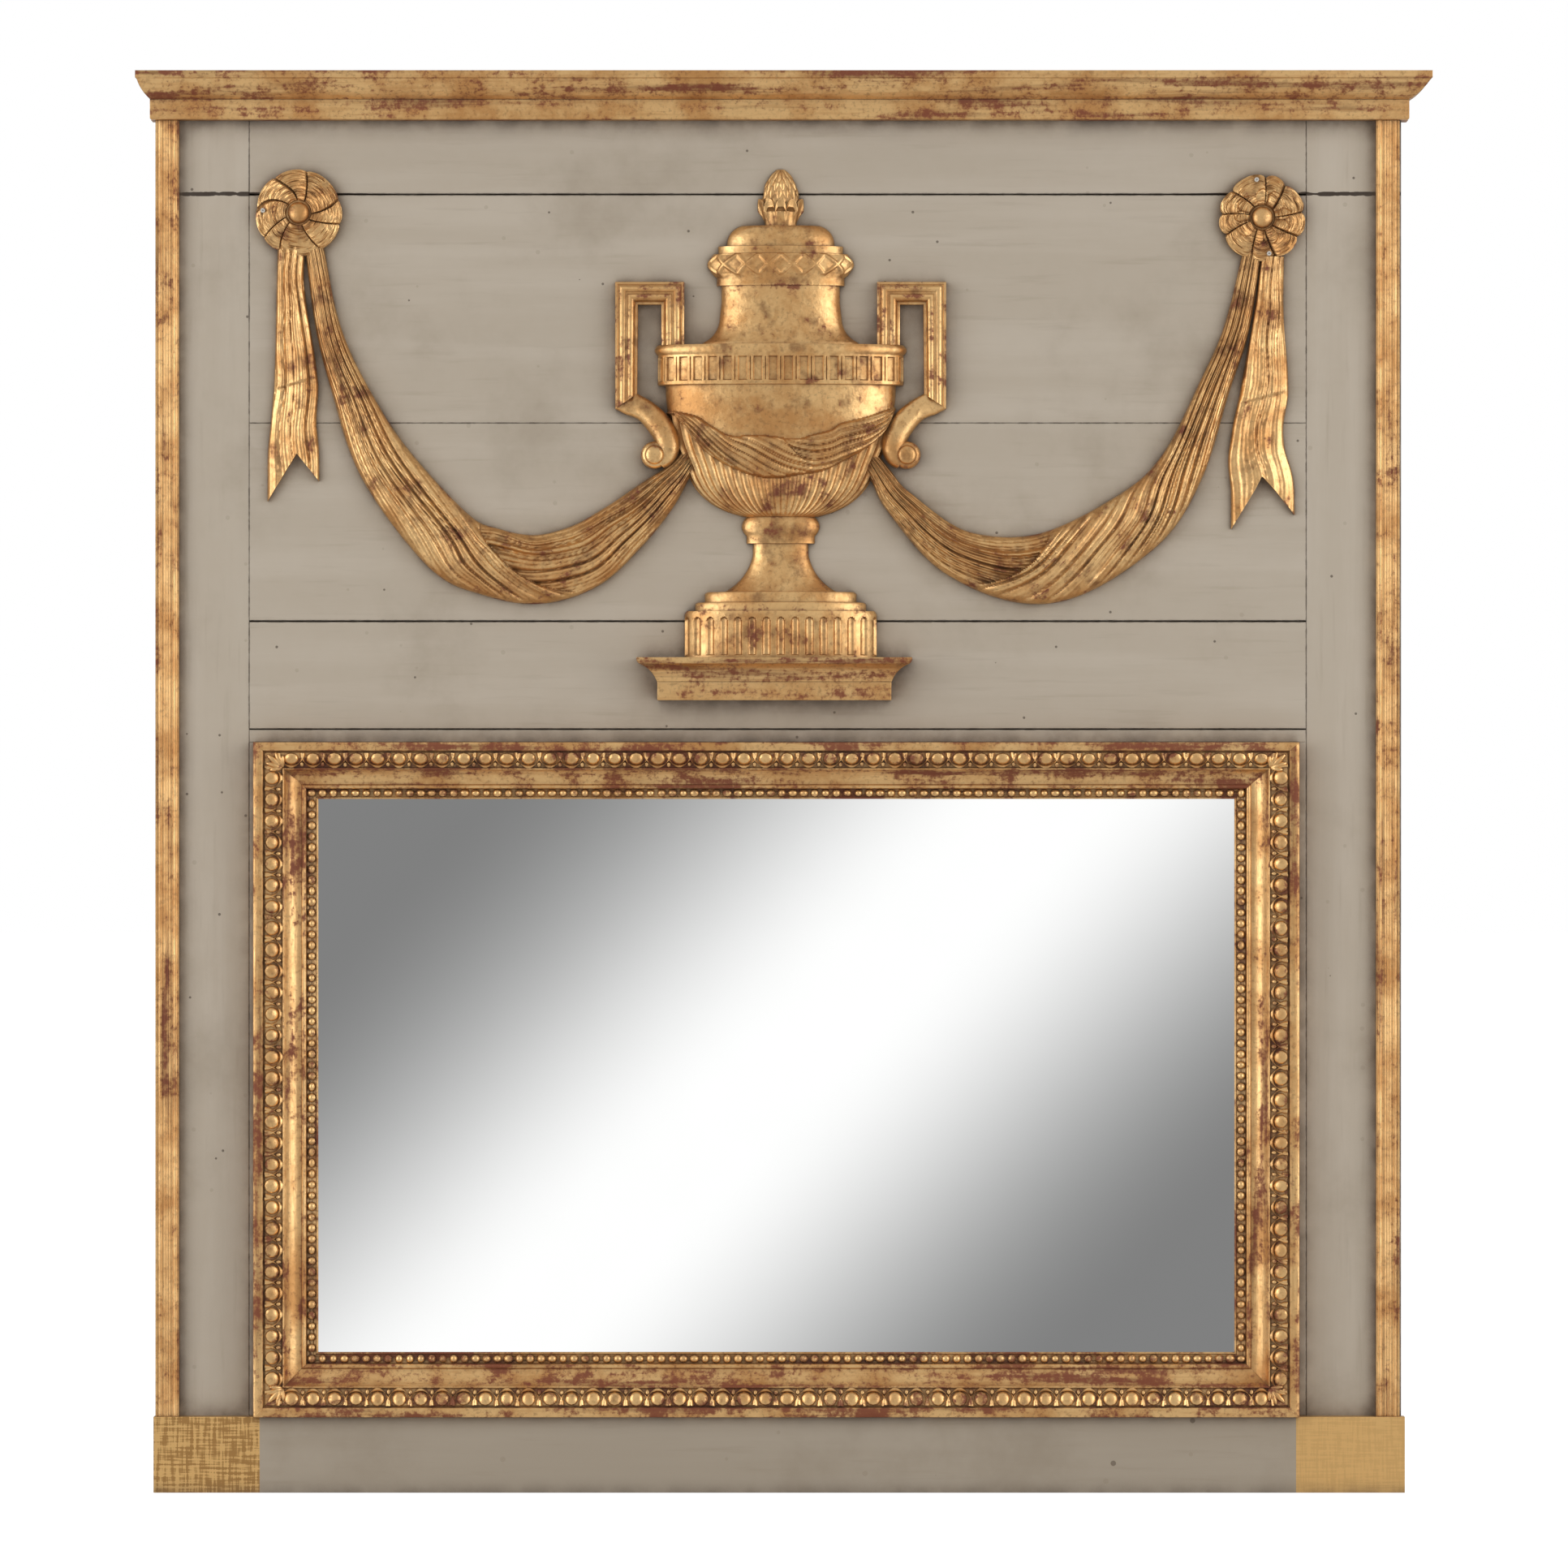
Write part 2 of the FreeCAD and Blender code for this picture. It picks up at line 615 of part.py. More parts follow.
# Bowl: bead rim, fluted frieze, plain swelling wall, and gadroons that gather to the foot.
gadroon_top = "foot_top + 53"
bowl_wall = relief("bowl_wall", [
    ("100.5", gadroon_top, 0.085), ("121.8", "bowl_top - 43"), ("frieze_half", "bowl_top - 42"),
    ("frieze_half", "bowl_top - 10.5"), ("frieze_half + 0.5", "bowl_top - 10.4", 0.55),
    ("frieze_half + 0.5", "bowl_top")], sides=24)
fluted_wall = boolean("Part::Cut", "fluted_wall", bowl_wall,
                      flutes("frieze", "frieze_half", FRIEZE_FLUTES, 10, 2.4, "bowl_top - 38",
                             "bowl_top - 13", False))
gadroon_levels = [(0, 40), (5, 56), (13, 72), (26, 87), (40, 96), (53, 101)]
gadroons = faceted("gadroons", [
    oval(half, size("foot_top") + up, size("urn_relief"), 0, 0.035, GADROONS)
    for up, half in gadroon_levels])


def drapery_section(turn, up, high, rise):
    """A section of the cloth across the bowl: three folds standing on the bowl's surface at an angle."""
    half = 118 - 10 * math.sin(turn)
    centre = FreeCAD.Vector(size("urn_axis") + half * math.cos(turn),
                            size(FRONT) - half * size("urn_relief") * math.sin(turn), up)
    out = FreeCAD.Vector(math.cos(turn) * size("urn_relief"), -math.sin(turn), 0).normalize()
    folds = [(-0.7, 0.5), (0.1, 0.48), (0.75, 0.36), (0.35, 0.2), (1, 0.05), (0.6, -0.12), (0.95, -0.28),
             (-0.1, -0.46), (-1, -0.5)]
    spots = [centre + out * (rise * away) + FreeCAD.Vector(0, 0, high * share) for away, share in folds]
    return Part.makePolygon(spots + spots[:1])


drapery_stations = [(0.1, 1143, 8, 4), (0.41, 1128, 24, 7), (0.88, 1112, 38, 9), (1.2, 1098, 42, 10),
                    (1.57, 1093, 43, 11), (2.07, 1098, 41, 11), (2.48, 1119, 32, 9), (2.85, 1133, 19, 6),
                    (3.04, 1142, 8, 4)]
drapery = solid("drapery", Part.makeLoft([drapery_section(*place) for place in drapery_stations], True, True))
urn_bowl = keep(joined("urn_bowl", [fluted_wall, gadroons, drapery]))

# Neck, lid with its lattice ring, and pine cone in a calyx of leaves.
keep(relief("urn_neck", [
    ("83", "bowl_top"), ("82", "bowl_top + 3", -0.24), ("65", "bowl_top + 24"), ("62.6", "bowl_top + 45"),
    ("62.6", "neck_top")]))
keep(relief("urn_lid", [
    ("67.5", "neck_top"), ("67.5", "neck_top + 10.5"), ("71", "neck_top + 11", 0.55),
    ("71", "neck_top + 33.5"), ("66", "neck_top + 34"), ("66", "neck_top + 41.5"),
    ("57", "neck_top + 42", 0.35), ("42", "lid_top")]))
cone = relief("pine_cone", [("18.5", "lid_top + 18", 0.12), ("19.5", "lid_top + 31", 0.16),
                            ("3", "finial_top")], "finial_relief", 12)
leaf_levels = [(0, 17), (9, 19.5), (19, 23.5), (26, 25.5)]
calyx = faceted("calyx", [oval(half, size("lid_top") + up, size("finial_relief"), 0, 0.12, CALYX_LEAVES)
                          for up, half in leaf_levels])
keep(joined("urn_finial", [calyx, cone]))


# ---- Handles ------------------------------------------------------------------------------------------
# A square hook of moulded bar, mitred at its corners, then a scroll that curls in to a round volute. The
# right handle is the left one's mirror image about the urn's axis.



def handle_bar():
    """The moulded bar swept up the inner leg, along the top and down the outer leg."""
    body = doc.addObject("PartDesign::Body", "handle_bar")
    half = "handle_wide / 2"
    low, high, dip = (f"{FRONT} - handle_proud * {share}" for share in (0.5, 0.85, 0.65))
    section = sketch_on(body, "XY_Plane", "bar_section", [[
        (f"bar_inner - {half}", FRONT), (f"bar_inner - {half}", low), (f"bar_inner - {half} + 3", low),
        ("bar_inner - 6", high), ("bar_inner - 2.5", high), ("bar_inner", dip), ("bar_inner + 2.5", high),
        ("bar_inner + 6", high), (f"bar_inner + {half} - 3", low), (f"bar_inner + {half}", low),
        (f"bar_inner + {half}", FRONT)]])
    section.setExpression("AttachmentOffset.Base.z", bound("bowl_top"))
    path = sketch_on(body, "XZ_Plane", "bar_path", [])
    stops = [("bar_inner", "bowl_top"), ("bar_inner", "bar_top"), ("bar_outer", "bar_top"),
             ("bar_outer", "1140")]
    for start, end in zip(stops, stops[1:]):
        path.addGeometry(Part.LineSegment(FreeCAD.Vector(size(start[0]), size(start[1]), 0),
                                          FreeCAD.Vector(size(end[0]), size(end[1]), 0)))
    path.AttachmentOffset = FreeCAD.Placement(FreeCAD.Vector(0, 0, -size(FRONT)), FreeCAD.Rotation())
    doc.recompute()
    pipe = body.newObject("PartDesign::AdditivePipe", "bar_sweep")
    pipe.Profile = section
    pipe.Spine = path
    pipe.Transition = "Right corner"
    doc.recompute()
    cut_through(body, "XZ_Plane", "bar_end",
                [[("-190", "1100"), ("-120", "1100"), ("-120", "1178"), ("-190", "1133")]])
    return body


def handle_scroll():
    """The scroll under the outer leg, which ends in a ball with a raised boss."""
    scroll = run("handle_scroll", "XZ_Plane", [
        ("-173.3", "1144.7"), ("-160.5", "1141.2", -0.25), ("-131.4", "1108.7", 0.95),
        ("-127", "1081.5", 0.22), ("-104.4", "1102", 0.12), ("-131.4", "1150.2", 0.08),
        ("-150.2", "1160.2")], FRONT, "handle_proud * 0.8")
    boss = doc.addObject("Part::Cylinder", "handle_boss")
    boss.setExpression("Radius", bound("volute_round"))
    boss.setExpression("Height", bound("handle_proud"))
    boss.Placement.Rotation = FreeCAD.Rotation(FreeCAD.Vector(1, 0, 0), 90)
    for axis, formula in zip("xyz", ("volute_across", FRONT, "volute_up")):
        boss.setExpression(f"Placement.Base.{axis}", bound(formula))
    return scroll, boss


whole_handle = joined("whole_handle", [handle_bar(), *handle_scroll()])
turned_handle = doc.addObject("Part::Mirroring", "turned_handle")
turned_handle.Source = whole_handle
turned_handle.Normal = FreeCAD.Vector(1, 0, 0)
turned_handle.Base = FreeCAD.Vector(size("urn_axis"), 0, 0)
handles = {"left": keep(boolean("Part::Cut", "handle_left", whole_handle, urn_bowl)),
           "right": keep(boolean("Part::Cut", "handle_right", turned_handle, urn_bowl))}


# ---- Rosettes, swags and ribbon tails -----------------------------------------------------------------
# The cloth hangs from under the rosettes. It is a loft of folded sections that stand on the boards across
# the line of the cloth, and it is cut to seat against whatever it meets.

rosettes = {}


def rosette(side, twist):
    """A round base with a ring of tilted petals and a button carved on its middle."""
    middle = FreeCAD.Vector(size(f"rosette_{side}_across"), size(FRONT), size(f"rosette_{side}_up"))
    face_out = FreeCAD.Rotation(FreeCAD.Vector(1, 0, 0), 90)
    base = doc.addObject("Part::Prism", f"rosette_{side}_base")
    base.Polygon = 2 * PETALS
    base.setExpression("Circumradius", bound("rosette_round - 3"))
    base.setExpression("Height", bound("rosette_base"))
    base.Placement = FreeCAD.Placement(middle, face_out)
    button = doc.addObject("Part::Prism", f"rosette_{side}_button")
    button.Polygon = 10
    button.setExpression("Circumradius", bound("button_round"))
    button.setExpression("Height", bound("button_proud"))
    button.Placement = FreeCAD.Placement(middle, face_out)
    parts = [base, button]
    seat = middle - FreeCAD.Vector(0, size("rosette_base") - 1.5, 0)
    tilt = FreeCAD.Rotation(FreeCAD.Vector(1, 0, 0), PETAL_TILT * twist)
    for n in range(PETALS):
        petal = padded(f"rosette_{side}_petal_{n + 1}", "XY_Plane",
                       [("7", "-4"), ("26", "-14"), ("rosette_round - 5", "-10"), ("rosette_round", "-1"),
                        ("rosette_round - 4", "9"), ("24", "13"), ("7", "5")], "petal_thick")
        turn = FreeCAD.Rotation(FreeCAD.Vector(0, 0, 1), 360 * n / PETALS)
        petal.Placement = FreeCAD.Placement(seat, face_out.multiply(turn).multiply(tilt))
        parts.append(petal)
    rosettes[side] = keep(joined(f"rosette_{side}", parts))


rosette("left", 1)
rosette("right", -1)


def folded(middle, across, wide, rise, folds, cuts_each):
    """A row of points over the cloth, from edge to edge: rounded folds on an arched line."""
    count = folds * cuts_each
    spots = []
    for n in range(count + 1):
        share = 2 * n / count - 1
        arch = 0.82 * math.sqrt(1 - abs(share) ** 2.2)
        swell = 0.18 * math.sin(math.pi * (n % cuts_each) / cuts_each)
        lift = FreeCAD.Vector(0, -rise * (arch + swell), 0)
        spots.append(middle + across * (share * wide / 2) + lift)
    return spots


def along(stations, count):
    """count + 1 stations spread evenly on a smooth curve through the given ones, with its direction."""
    middle = Part.BSplineCurve()
    middle.interpolate([FreeCAD.Vector(place[0], size(FRONT), place[1]) for place in stations])
    girth = Part.BSplineCurve()
    girth.interpolate([FreeCAD.Vector(n, place[2], 40 * place[3]) for n, place in enumerate(stations)])
    spots = []
    for n in range(count + 1):
        u = middle.LastParameter * n / count
        v = girth.LastParameter * n / count
        spots.append((middle.value(u), middle.tangent(u)[0], girth.value(v).y, girth.value(v).z / 40))
    return spots


def cloth(label, stations, count, folds, cuts_each, rise):
    """stations are (across, up, width, share of the full rise) down the middle line of the cloth."""
    rows = []
    for spot, way, wide, share in along(stations, count):
        across = FreeCAD.Vector(way.z, 0, -way.x).normalize()
        rows.append(folded(spot, across, wide, size(rise) * share, folds, cuts_each))
    return faceted(label, rows)


tails = {}


def ribbon_tail(side, stations, notch):
    """A pleated ribbon that widens downwards to a swallow tail; notch is the outline cut out of its end."""
    ribbon = cloth(f"ribbon_{side}", stations, 7, TAIL_FOLDS, 2, "tail_rise")
    gap = run(f"ribbon_notch_{side}", "XZ_Plane", notch, FRONT, "2 * tail_rise")
    seats = group(f"tail_seats_{side}", [gap, rosettes[side]])
    tails[side] = keep(boolean("Part::Cut", f"ribbon_tail_{side}", ribbon, seats))


ribbon_tail("left",
            [(-515.8, 1318, 29, 0.6), (-516.8, 1277, 29, 1.2), (-511, 1174, 46, 1.1), (-513.5, 1131, 48, 1),
             (-513.6, 1097, 53, 1), (-514, 1046, 55, 0.9)],
            [("-551.3", "1030"), ("-456", "1030"), ("-510", "1097.8")])
ribbon_tail("right",
            [(522, 1314, 24, 0.6), (518, 1248, 31, 1.2), (513, 1163, 51, 1.1), (506, 1122, 54, 1),
             (506.5, 1067, 68, 1), (511, 1017, 69, 0.9)],
            [("467.3", "1000"), ("571.3", "1000"), ("512", "1073.9")])

left_swag = cloth("left_swag_cloth", [
    (-492, 1316, 20, 0.45), (-478, 1234, 26, 0.6), (-456, 1169, 37, 0.75), (-417, 1087, 59, 0.9),
    (-349, 1007, 72, 1), (-256, 975.3, 72, 1), (-184, 1009, 65, 0.95), (-130, 1052, 44, 0.8),
    (-106, 1078, 26, 0.6)], 15, SWAG_FOLDS, 3, "swag_rise")
right_swag = cloth("right_swag_cloth", [
    (501, 1312, 20, 0.45), (484, 1230, 27, 0.6), (461, 1169, 33, 0.75), (424, 1080, 50, 0.9),
    (374, 1023, 69, 1), (282.5, 976.5, 75, 1), (192, 991, 52, 0.9), (129, 1044, 32, 0.75),
    (109, 1072, 24, 0.6)], 15, SWAG_FOLDS, 3, "swag_rise")
for side, swag in (("left", left_swag), ("right", right_swag)):
    seats = group(f"swag_seats_{side}", [handles[side], urn_bowl, rosettes[side], tails[side]])
    keep(boolean("Part::Cut", f"swag_{side}", swag, seats))


# ---- Back of the mirror -------------------------------------------------------------------------------
# Battens tie the horizontal boards and hold the panel off the wall; backboards close the mirror.

def screw(label, across, face_at, up, long):
    """A wood screw driven from the wall side, its head standing on face_at."""
    parts = []
    for part, sides, radius, low, high in (("head", 8, "screw_head", "0", "screw_head_thick"),
                                           ("shank", 6, "screw_shank", f"-({long})", "0")):
        prism = doc.addObject("Part::Prism", f"{label}_{part}")
        prism.Polygon = sides
        prism.setExpression("Circumradius", bound(radius))
        prism.setExpression("Height", bound(f"({high}) - ({low})"))
        prism.Placement.Rotation = FreeCAD.Rotation(FreeCAD.Vector(1, 0, 0), -90)
        for axis, formula in zip("xyz", (across, f"{face_at} + {low}", up)):
            prism.setExpression(f"Placement.Base.{axis}", bound(formula))
        parts.append(prism)
    return joined(label, parts)


SUNK = "-screw_head_thick"  # heads in a batten are let in flush with its wall side
batten_screws = []
for side, sign in (("left", "-"), ("right", "")):
    outer, inner = f"{sign}(batten_across + batten_wide / 2)", f"{sign}(batten_across - batten_wide / 2)"
    keep(block(f"batten_{side}", sorted((outer, inner), key=size), (BACK, "0"),
               ("batten_low", "batten_high")))
    for number, up in enumerate((860, 1025, 1250, 1415)):
        batten_screws.append(screw(f"batten_screw_{side}_{number + 1}", f"{sign}batten_across", SUNK, str(up),
                                   "batten_screw_long"))
keep(block("batten_foot", ("-foot_batten_half", "foot_batten_half"), (BACK, "0"), ("0", "batten_wide")))
for number, across in enumerate((-450, -150, 150, 450)):
    batten_screws.append(screw(f"batten_screw_foot_{number + 1}", str(across), SUNK,
                               "batten_wide / 2", "batten_screw_long"))
keep(group("batten_screws", batten_screws))

lowest, highest = "sight_bottom - backboard_lap", "sight_top + backboard_lap"
for number in range(4):
    edges_up = [f"({lowest}) + (({highest}) - ({lowest})) * {share / 4}" for share in (number, number + 1)]
    keep(block(f"mirror_backboard_{number + 1}",
               ("sight_left - backboard_lap", "sight_right + backboard_lap"),
               (BACK, f"{BACK} + backboard_thick"), edges_up))

cleats = []
cleat_screws = []
for number, up in enumerate((230, 440, 650)):
    for side, edge in (("left", frame_left), ("right", frame_right)):
        cleats.append(block(f"cleat_{side}_{number + 1}", (f"{edge} - cleat_half", f"{edge} + cleat_half"),
                            (BACK, f"{BACK} + cleat_thick"),
                            (f"{up} - cleat_high / 2", f"{up} + cleat_high / 2")))
        for hole, shift in enumerate((-22, 22)):
            cleat_screws.append(screw(f"cleat_screw_{side}_{number + 1}_{hole + 1}", f"{edge} + {shift}",
                                      f"{BACK} + cleat_thick", str(up), "cleat_screw_long"))
keep(group("frame_cleats", cleats))
keep(group("cleat_screws", cleat_screws))

# Strap hangers: each strap's end is rolled into an eye round the straight bar of a D-ring. The ring is
# drawn as it hangs when the mirror is off its hooks, down over the strap.
eye_in = "ring_wire + eye_slack"
eye_out = f"({eye_in} + strap_thick)"
strap_face = f"{BACK} + strap_thick"
STRAP_HOLES = (44, 62)  # below the pivot


def strap(side, across):
    middle = "pivot_back"
    bent = run(f"bent_strap_{side}", "YZ_Plane", [
        (BACK, "pivot_up - strap_long"), (strap_face, "pivot_up - strap_long"),
        (strap_face, "pivot_up - 10"), (f"{middle} + 1.4", f"pivot_up - {eye_out} + 0.15", 0.95),
        (f"{middle} - 1.4", f"pivot_up + {eye_out} - 0.15", 0.36),
        (f"{middle} - {eye_out}", "pivot_up - 0.5"),
        (BACK, "pivot_up - 10")], f"{across} - strap_wide / 2", "strap_wide")
    bore = doc.addObject("Part::Cylinder", f"hanger_eye_{side}")
    bore.setExpression("Radius", bound(eye_in))
    bore.setExpression("Height", bound("strap_wide + 2"))
    bore.Placement = FreeCAD.Placement(
        FreeCAD.Vector(size(across) - size("strap_wide") / 2 - 1, size("pivot_back"), size("pivot_up")),
        FreeCAD.Rotation(FreeCAD.Vector(0, 1, 0), 90))
    holes = [bore]
    for n, down in enumerate(STRAP_HOLES):
        hole = doc.addObject("Part::Prism", f"hanger_hole_{side}_{n + 1}")
        hole.Polygon = 8
        hole.setExpression("Circumradius", bound("screw_shank + 0.4"))
        hole.setExpression("Height", bound("strap_thick + 2"))
        hole.Placement.Rotation = FreeCAD.Rotation(FreeCAD.Vector(1, 0, 0), -90)
        for axis, formula in zip("xyz", (across, f"{BACK} - 1", f"pivot_up - {down}")):
            hole.setExpression(f"Placement.Base.{axis}", bound(formula))
        holes.append(hole)
    keep(boolean("Part::Cut", f"hanger_strap_{side}", bent, group(f"hanger_holes_{side}", holes)))


def ring(side, across):
    """A D-ring of round wire with sharp bends: a straight bar through the eye and a tapered bow."""
    centre = FreeCAD.Vector(size(across), size("pivot_back"), size("pivot_up"))
    half, reach = size("ring_half"), size("ring_reach")
    bends = [(half, 0), (half, reach / 2), (half * 0.6, reach), (-half * 0.6, reach), (-half, reach / 2),
             (-half, 0)]
    spots = [centre + FreeCAD.Vector(x, 0, -down) for x, down in bends]
    path = Part.makePolygon([centre] + spots + [centre])
    wire = Part.Wire(Part.Circle(centre, FreeCAD.Vector(1, 0, 0), size("ring_wire")).toShape())
    keep(solid(f"hanger_ring_{side}", path.makePipeShell([wire], True, False, 1)))


screws = []
for side, across in (("left", "-hanger_across"), ("right", "hanger_across")):
    strap(side, across)
    ring(side, across)
    for n, down in enumerate(STRAP_HOLES):
        screws.append(screw(f"hanger_screw_{side}_{n + 1}", across, strap_face,
                            f"pivot_up - {down}", "hanger_screw_long"))
keep(group("hanger_screws", screws))


# ---- Check and write ----------------------------------------------------------------------------------

doc.recompute()
faults = [item.Label for item in doc.Objects if {"Invalid", "Error"} & set(item.State)]
for piece in made:
    if piece.Shape.isNull() or not piece.Shape.isValid() or not piece.Shape.Solids:
        faults.append(piece.Label)
if faults:
    raise RuntimeError("failed: " + ", ".join(faults))
os.makedirs("parts", exist_ok=True)
for piece in made:
    piece.Shape.exportStep(f"parts/{piece.Label}.step")
    print(piece.Label, len(piece.Shape.Solids), "solid(s),", round(piece.Shape.Volume / 1000, 1), "cm3")
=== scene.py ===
import math

import bmesh
import bpy
from mathutils import Matrix, Vector, noise


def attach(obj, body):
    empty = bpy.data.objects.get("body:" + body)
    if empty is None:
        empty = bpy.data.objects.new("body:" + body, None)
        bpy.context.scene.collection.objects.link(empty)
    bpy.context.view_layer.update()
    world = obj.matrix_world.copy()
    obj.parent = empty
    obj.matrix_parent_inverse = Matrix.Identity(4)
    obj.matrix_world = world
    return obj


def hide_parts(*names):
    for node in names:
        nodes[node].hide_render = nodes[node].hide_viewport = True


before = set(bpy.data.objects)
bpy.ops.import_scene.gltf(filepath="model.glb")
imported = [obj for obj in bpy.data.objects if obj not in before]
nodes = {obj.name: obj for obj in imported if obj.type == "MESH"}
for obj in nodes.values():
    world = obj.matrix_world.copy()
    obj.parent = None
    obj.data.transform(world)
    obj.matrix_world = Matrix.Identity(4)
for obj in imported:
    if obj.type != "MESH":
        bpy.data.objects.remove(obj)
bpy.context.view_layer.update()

# ---- Boards of the panel --------------------
# Two stiles and the boards between them, pine, brushed with a matt grey distemper that has worn, collected
# dust against every moulding, with painted shade there too, and shrunk open along three of the joints.
# Their backs are bare.

PAINT = (0.493, 0.422, 0.333, 1)
PAINT_PALE = (0.57, 0.498, 0.408, 1)
PAINT_DARK = (0.342, 0.279, 0.205, 1)
# DUST_AND_SHADE is laid on by the corner mask: dust, and painted shade in corners and hollows.
DUST_AND_SHADE = (0.075, 0.052, 0.035, 1)
PIT = (0.10, 0.075, 0.055, 1)
CRACK = (0.045, 0.03, 0.02, 1)
# GRIME_AND_SHADE is a film of grime over the paint, and also painted shade where the wide corner mask
# reaches.
GRIME_AND_SHADE = (0.235, 0.18, 0.12, 1)
GESSO = (0.66, 0.62, 0.55, 1)
PINE = (0.33, 0.20, 0.10, 1)
PINE_LATE = (0.19, 0.105, 0.05, 1)
RAIL_JOINT = 1.3726
ACROSS = (0.07, 1.0, 1.0)
UPRIGHT = (1.0, 1.0, 0.07)


def feed(tree, node, inputs):
    """Gives a node a value or a link for each input that is named."""
    for socket, value in inputs.items():
        if isinstance(value, bpy.types.NodeSocket):
            tree.links.new(value, node.inputs[socket])
        else:
            node.inputs[socket].default_value = value
    return node


def add(tree, kind, inputs=None, **settings):
    """A new node with its settings and inputs."""
    made = tree.nodes.new(kind)
    for name, value in settings.items():
        setattr(made, name, value)
    return feed(tree, made, inputs or {})


def calc(tree, operation, *values):
    return add(tree, "ShaderNodeMath", dict(enumerate(values)), operation=operation).outputs[0]


def times(tree, one, other):
    return calc(tree, "MULTIPLY", one, other)


def part_of(tree, vector, which):
    return add(tree, "ShaderNodeSeparateXYZ", {0: vector}).outputs[which]


def layer(tree, share, under, over):
    """The colour over laid on the colour under where share is 1."""
    return add(tree, "ShaderNodeMix", {0: share, 6: under, 7: over}, data_type="RGBA").outputs[2]


def between(tree, value, low, high, first=0.0, last=1.0):
    """Goes smoothly from first to last as value goes from low to high."""
    return add(tree, "ShaderNodeMapRange", {0: value, 1: low, 2: high, 3: first, 4: last},
               interpolation_type="SMOOTHSTEP").outputs[0]


def clouds(tree, place, scale, detail=4.0, rough=0.55):
    return add(tree, "ShaderNodeTexNoise", {"Vector": place, "Scale": scale, "Detail": detail,
                                            "Roughness": rough}).outputs[0]


def bump(tree, height, strength, depth, normal):
    """The normal of a face with a fine relief on it."""
    return add(tree, "ShaderNodeBump", {"Height": height, "Strength": strength, "Distance": depth,
                                        "Normal": normal}).outputs[0]


def effect(name, outputs, **inputs):
    """An empty effect: its tree, its inputs and its end node. outputs names each output's kind."""
    tree = bpy.data.node_groups.new(name, "ShaderNodeTree")
    for label, value in inputs.items():
        kind = "NodeSocketVector" if isinstance(value, tuple) else "NodeSocketFloat"
        tree.interface.new_socket(label, in_out="INPUT", socket_type=kind).default_value = value
    for label, kind in outputs.items():
        tree.interface.new_socket(label, in_out="OUTPUT", socket_type="NodeSocket" + kind)
    return tree, tree.nodes.new("NodeGroupInput").outputs, tree.nodes.new("NodeGroupOutput")


def put(tree, group, **inputs):
    """An effect placed in a material with its own values."""
    return add(tree, "ShaderNodeGroup", inputs, node_tree=group)


# Streaks of a brush, of grain or of rubbing: clouds drawn out along the piece.
streaks, given, ends = effect("streaks", {"Mask": "Float"}, Place=(0, 0, 0), Stretch=(1, 1, 1), Scale=60.0,
                              Detail=4.0)
drawn = add(streaks, "ShaderNodeVectorMath", {0: given["Place"], 1: given["Stretch"]},
            operation="MULTIPLY").outputs[0]
feed(streaks, ends, {"Mask": clouds(streaks, drawn, given["Scale"], given["Detail"])})


def streaked(tree, place, along, scale, detail):
    return put(tree, streaks, Place=place, Stretch=along, Scale=scale, Detail=detail).outputs[0]


# Dust, and painted shade, in corners and hollows: a mask that darkens wherever the surface is closed in by
# its neighbours, broken up in patches.
dust_and_shade_in_corners, given, ends = effect("dust_and_shade_in_corners", {"Mask": "Float"}, Place=(0, 0, 0), Reach=0.02,
                                      Amount=1.0)
# Painted shade: ambient occlusion gives the closed-in share, which darkens corners, hollows and the boards
# round each carving.
open_sky = add(dust_and_shade_in_corners, "ShaderNodeAmbientOcclusion", {"Distance": given["Reach"]},
               samples=6).outputs["AO"]
closed = between(dust_and_shade_in_corners, open_sky, 0.35, 0.97, 1.0, 0.0)
patchy = between(dust_and_shade_in_corners, clouds(dust_and_shade_in_corners, given["Place"], 38.0), 0.25, 0.7, 0.45, 1.0)
settled_and_shaded = times(dust_and_shade_in_corners, closed, patchy)
feed(dust_and_shade_in_corners, ends, {"Mask": times(dust_and_shade_in_corners, settled_and_shaded, given["Amount"])})


def dust_and_shade_on(tree, place, reach, amount):
    return put(tree, dust_and_shade_in_corners, Place=place, Reach=reach, Amount=amount).outputs[0]


# Arrises worn round, and the light that they catch.
worn_arris, given, ends = effect("worn_arris", {"Mask": "Float", "Normal": "Vector"}, Place=(0, 0, 0),
                                 Width=0.001)
rounded = add(worn_arris, "ShaderNodeBevel", {"Radius": given["Width"]}, samples=4).outputs[0]
square = add(worn_arris, "ShaderNodeNewGeometry").outputs["Normal"]
lean = add(worn_arris, "ShaderNodeVectorMath", {0: rounded, 1: square},
           operation="DOT_PRODUCT").outputs["Value"]
bare = between(worn_arris, lean, 0.80, 0.995, 1.0, 0.0)
torn = between(worn_arris, clouds(worn_arris, given["Place"], 90.0), 0.38, 0.62)
feed(worn_arris, ends, {"Mask": times(worn_arris, bare, torn), "Normal": rounded})

# Small pits, flecks and knocks, one here and there.
flecks, given, ends = effect("flecks", {"Mask": "Float"}, Place=(0, 0, 0), Spacing=30.0, Size=0.06,
                             Rarity=0.75)
cells = add(flecks, "ShaderNodeTexVoronoi", {"Vector": given["Place"], "Scale": given["Spacing"]})
chosen = add(flecks, "ShaderNodeSeparateColor", {0: cells.outputs["Color"]})
near = calc(flecks, "LESS_THAN", cells.outputs["Distance"], times(flecks, given["Size"], chosen.outputs[1]))
rare = calc(flecks, "GREATER_THAN", chosen.outputs[0], given["Rarity"])
feed(flecks, ends, {"Mask": times(flecks, near, rare)})


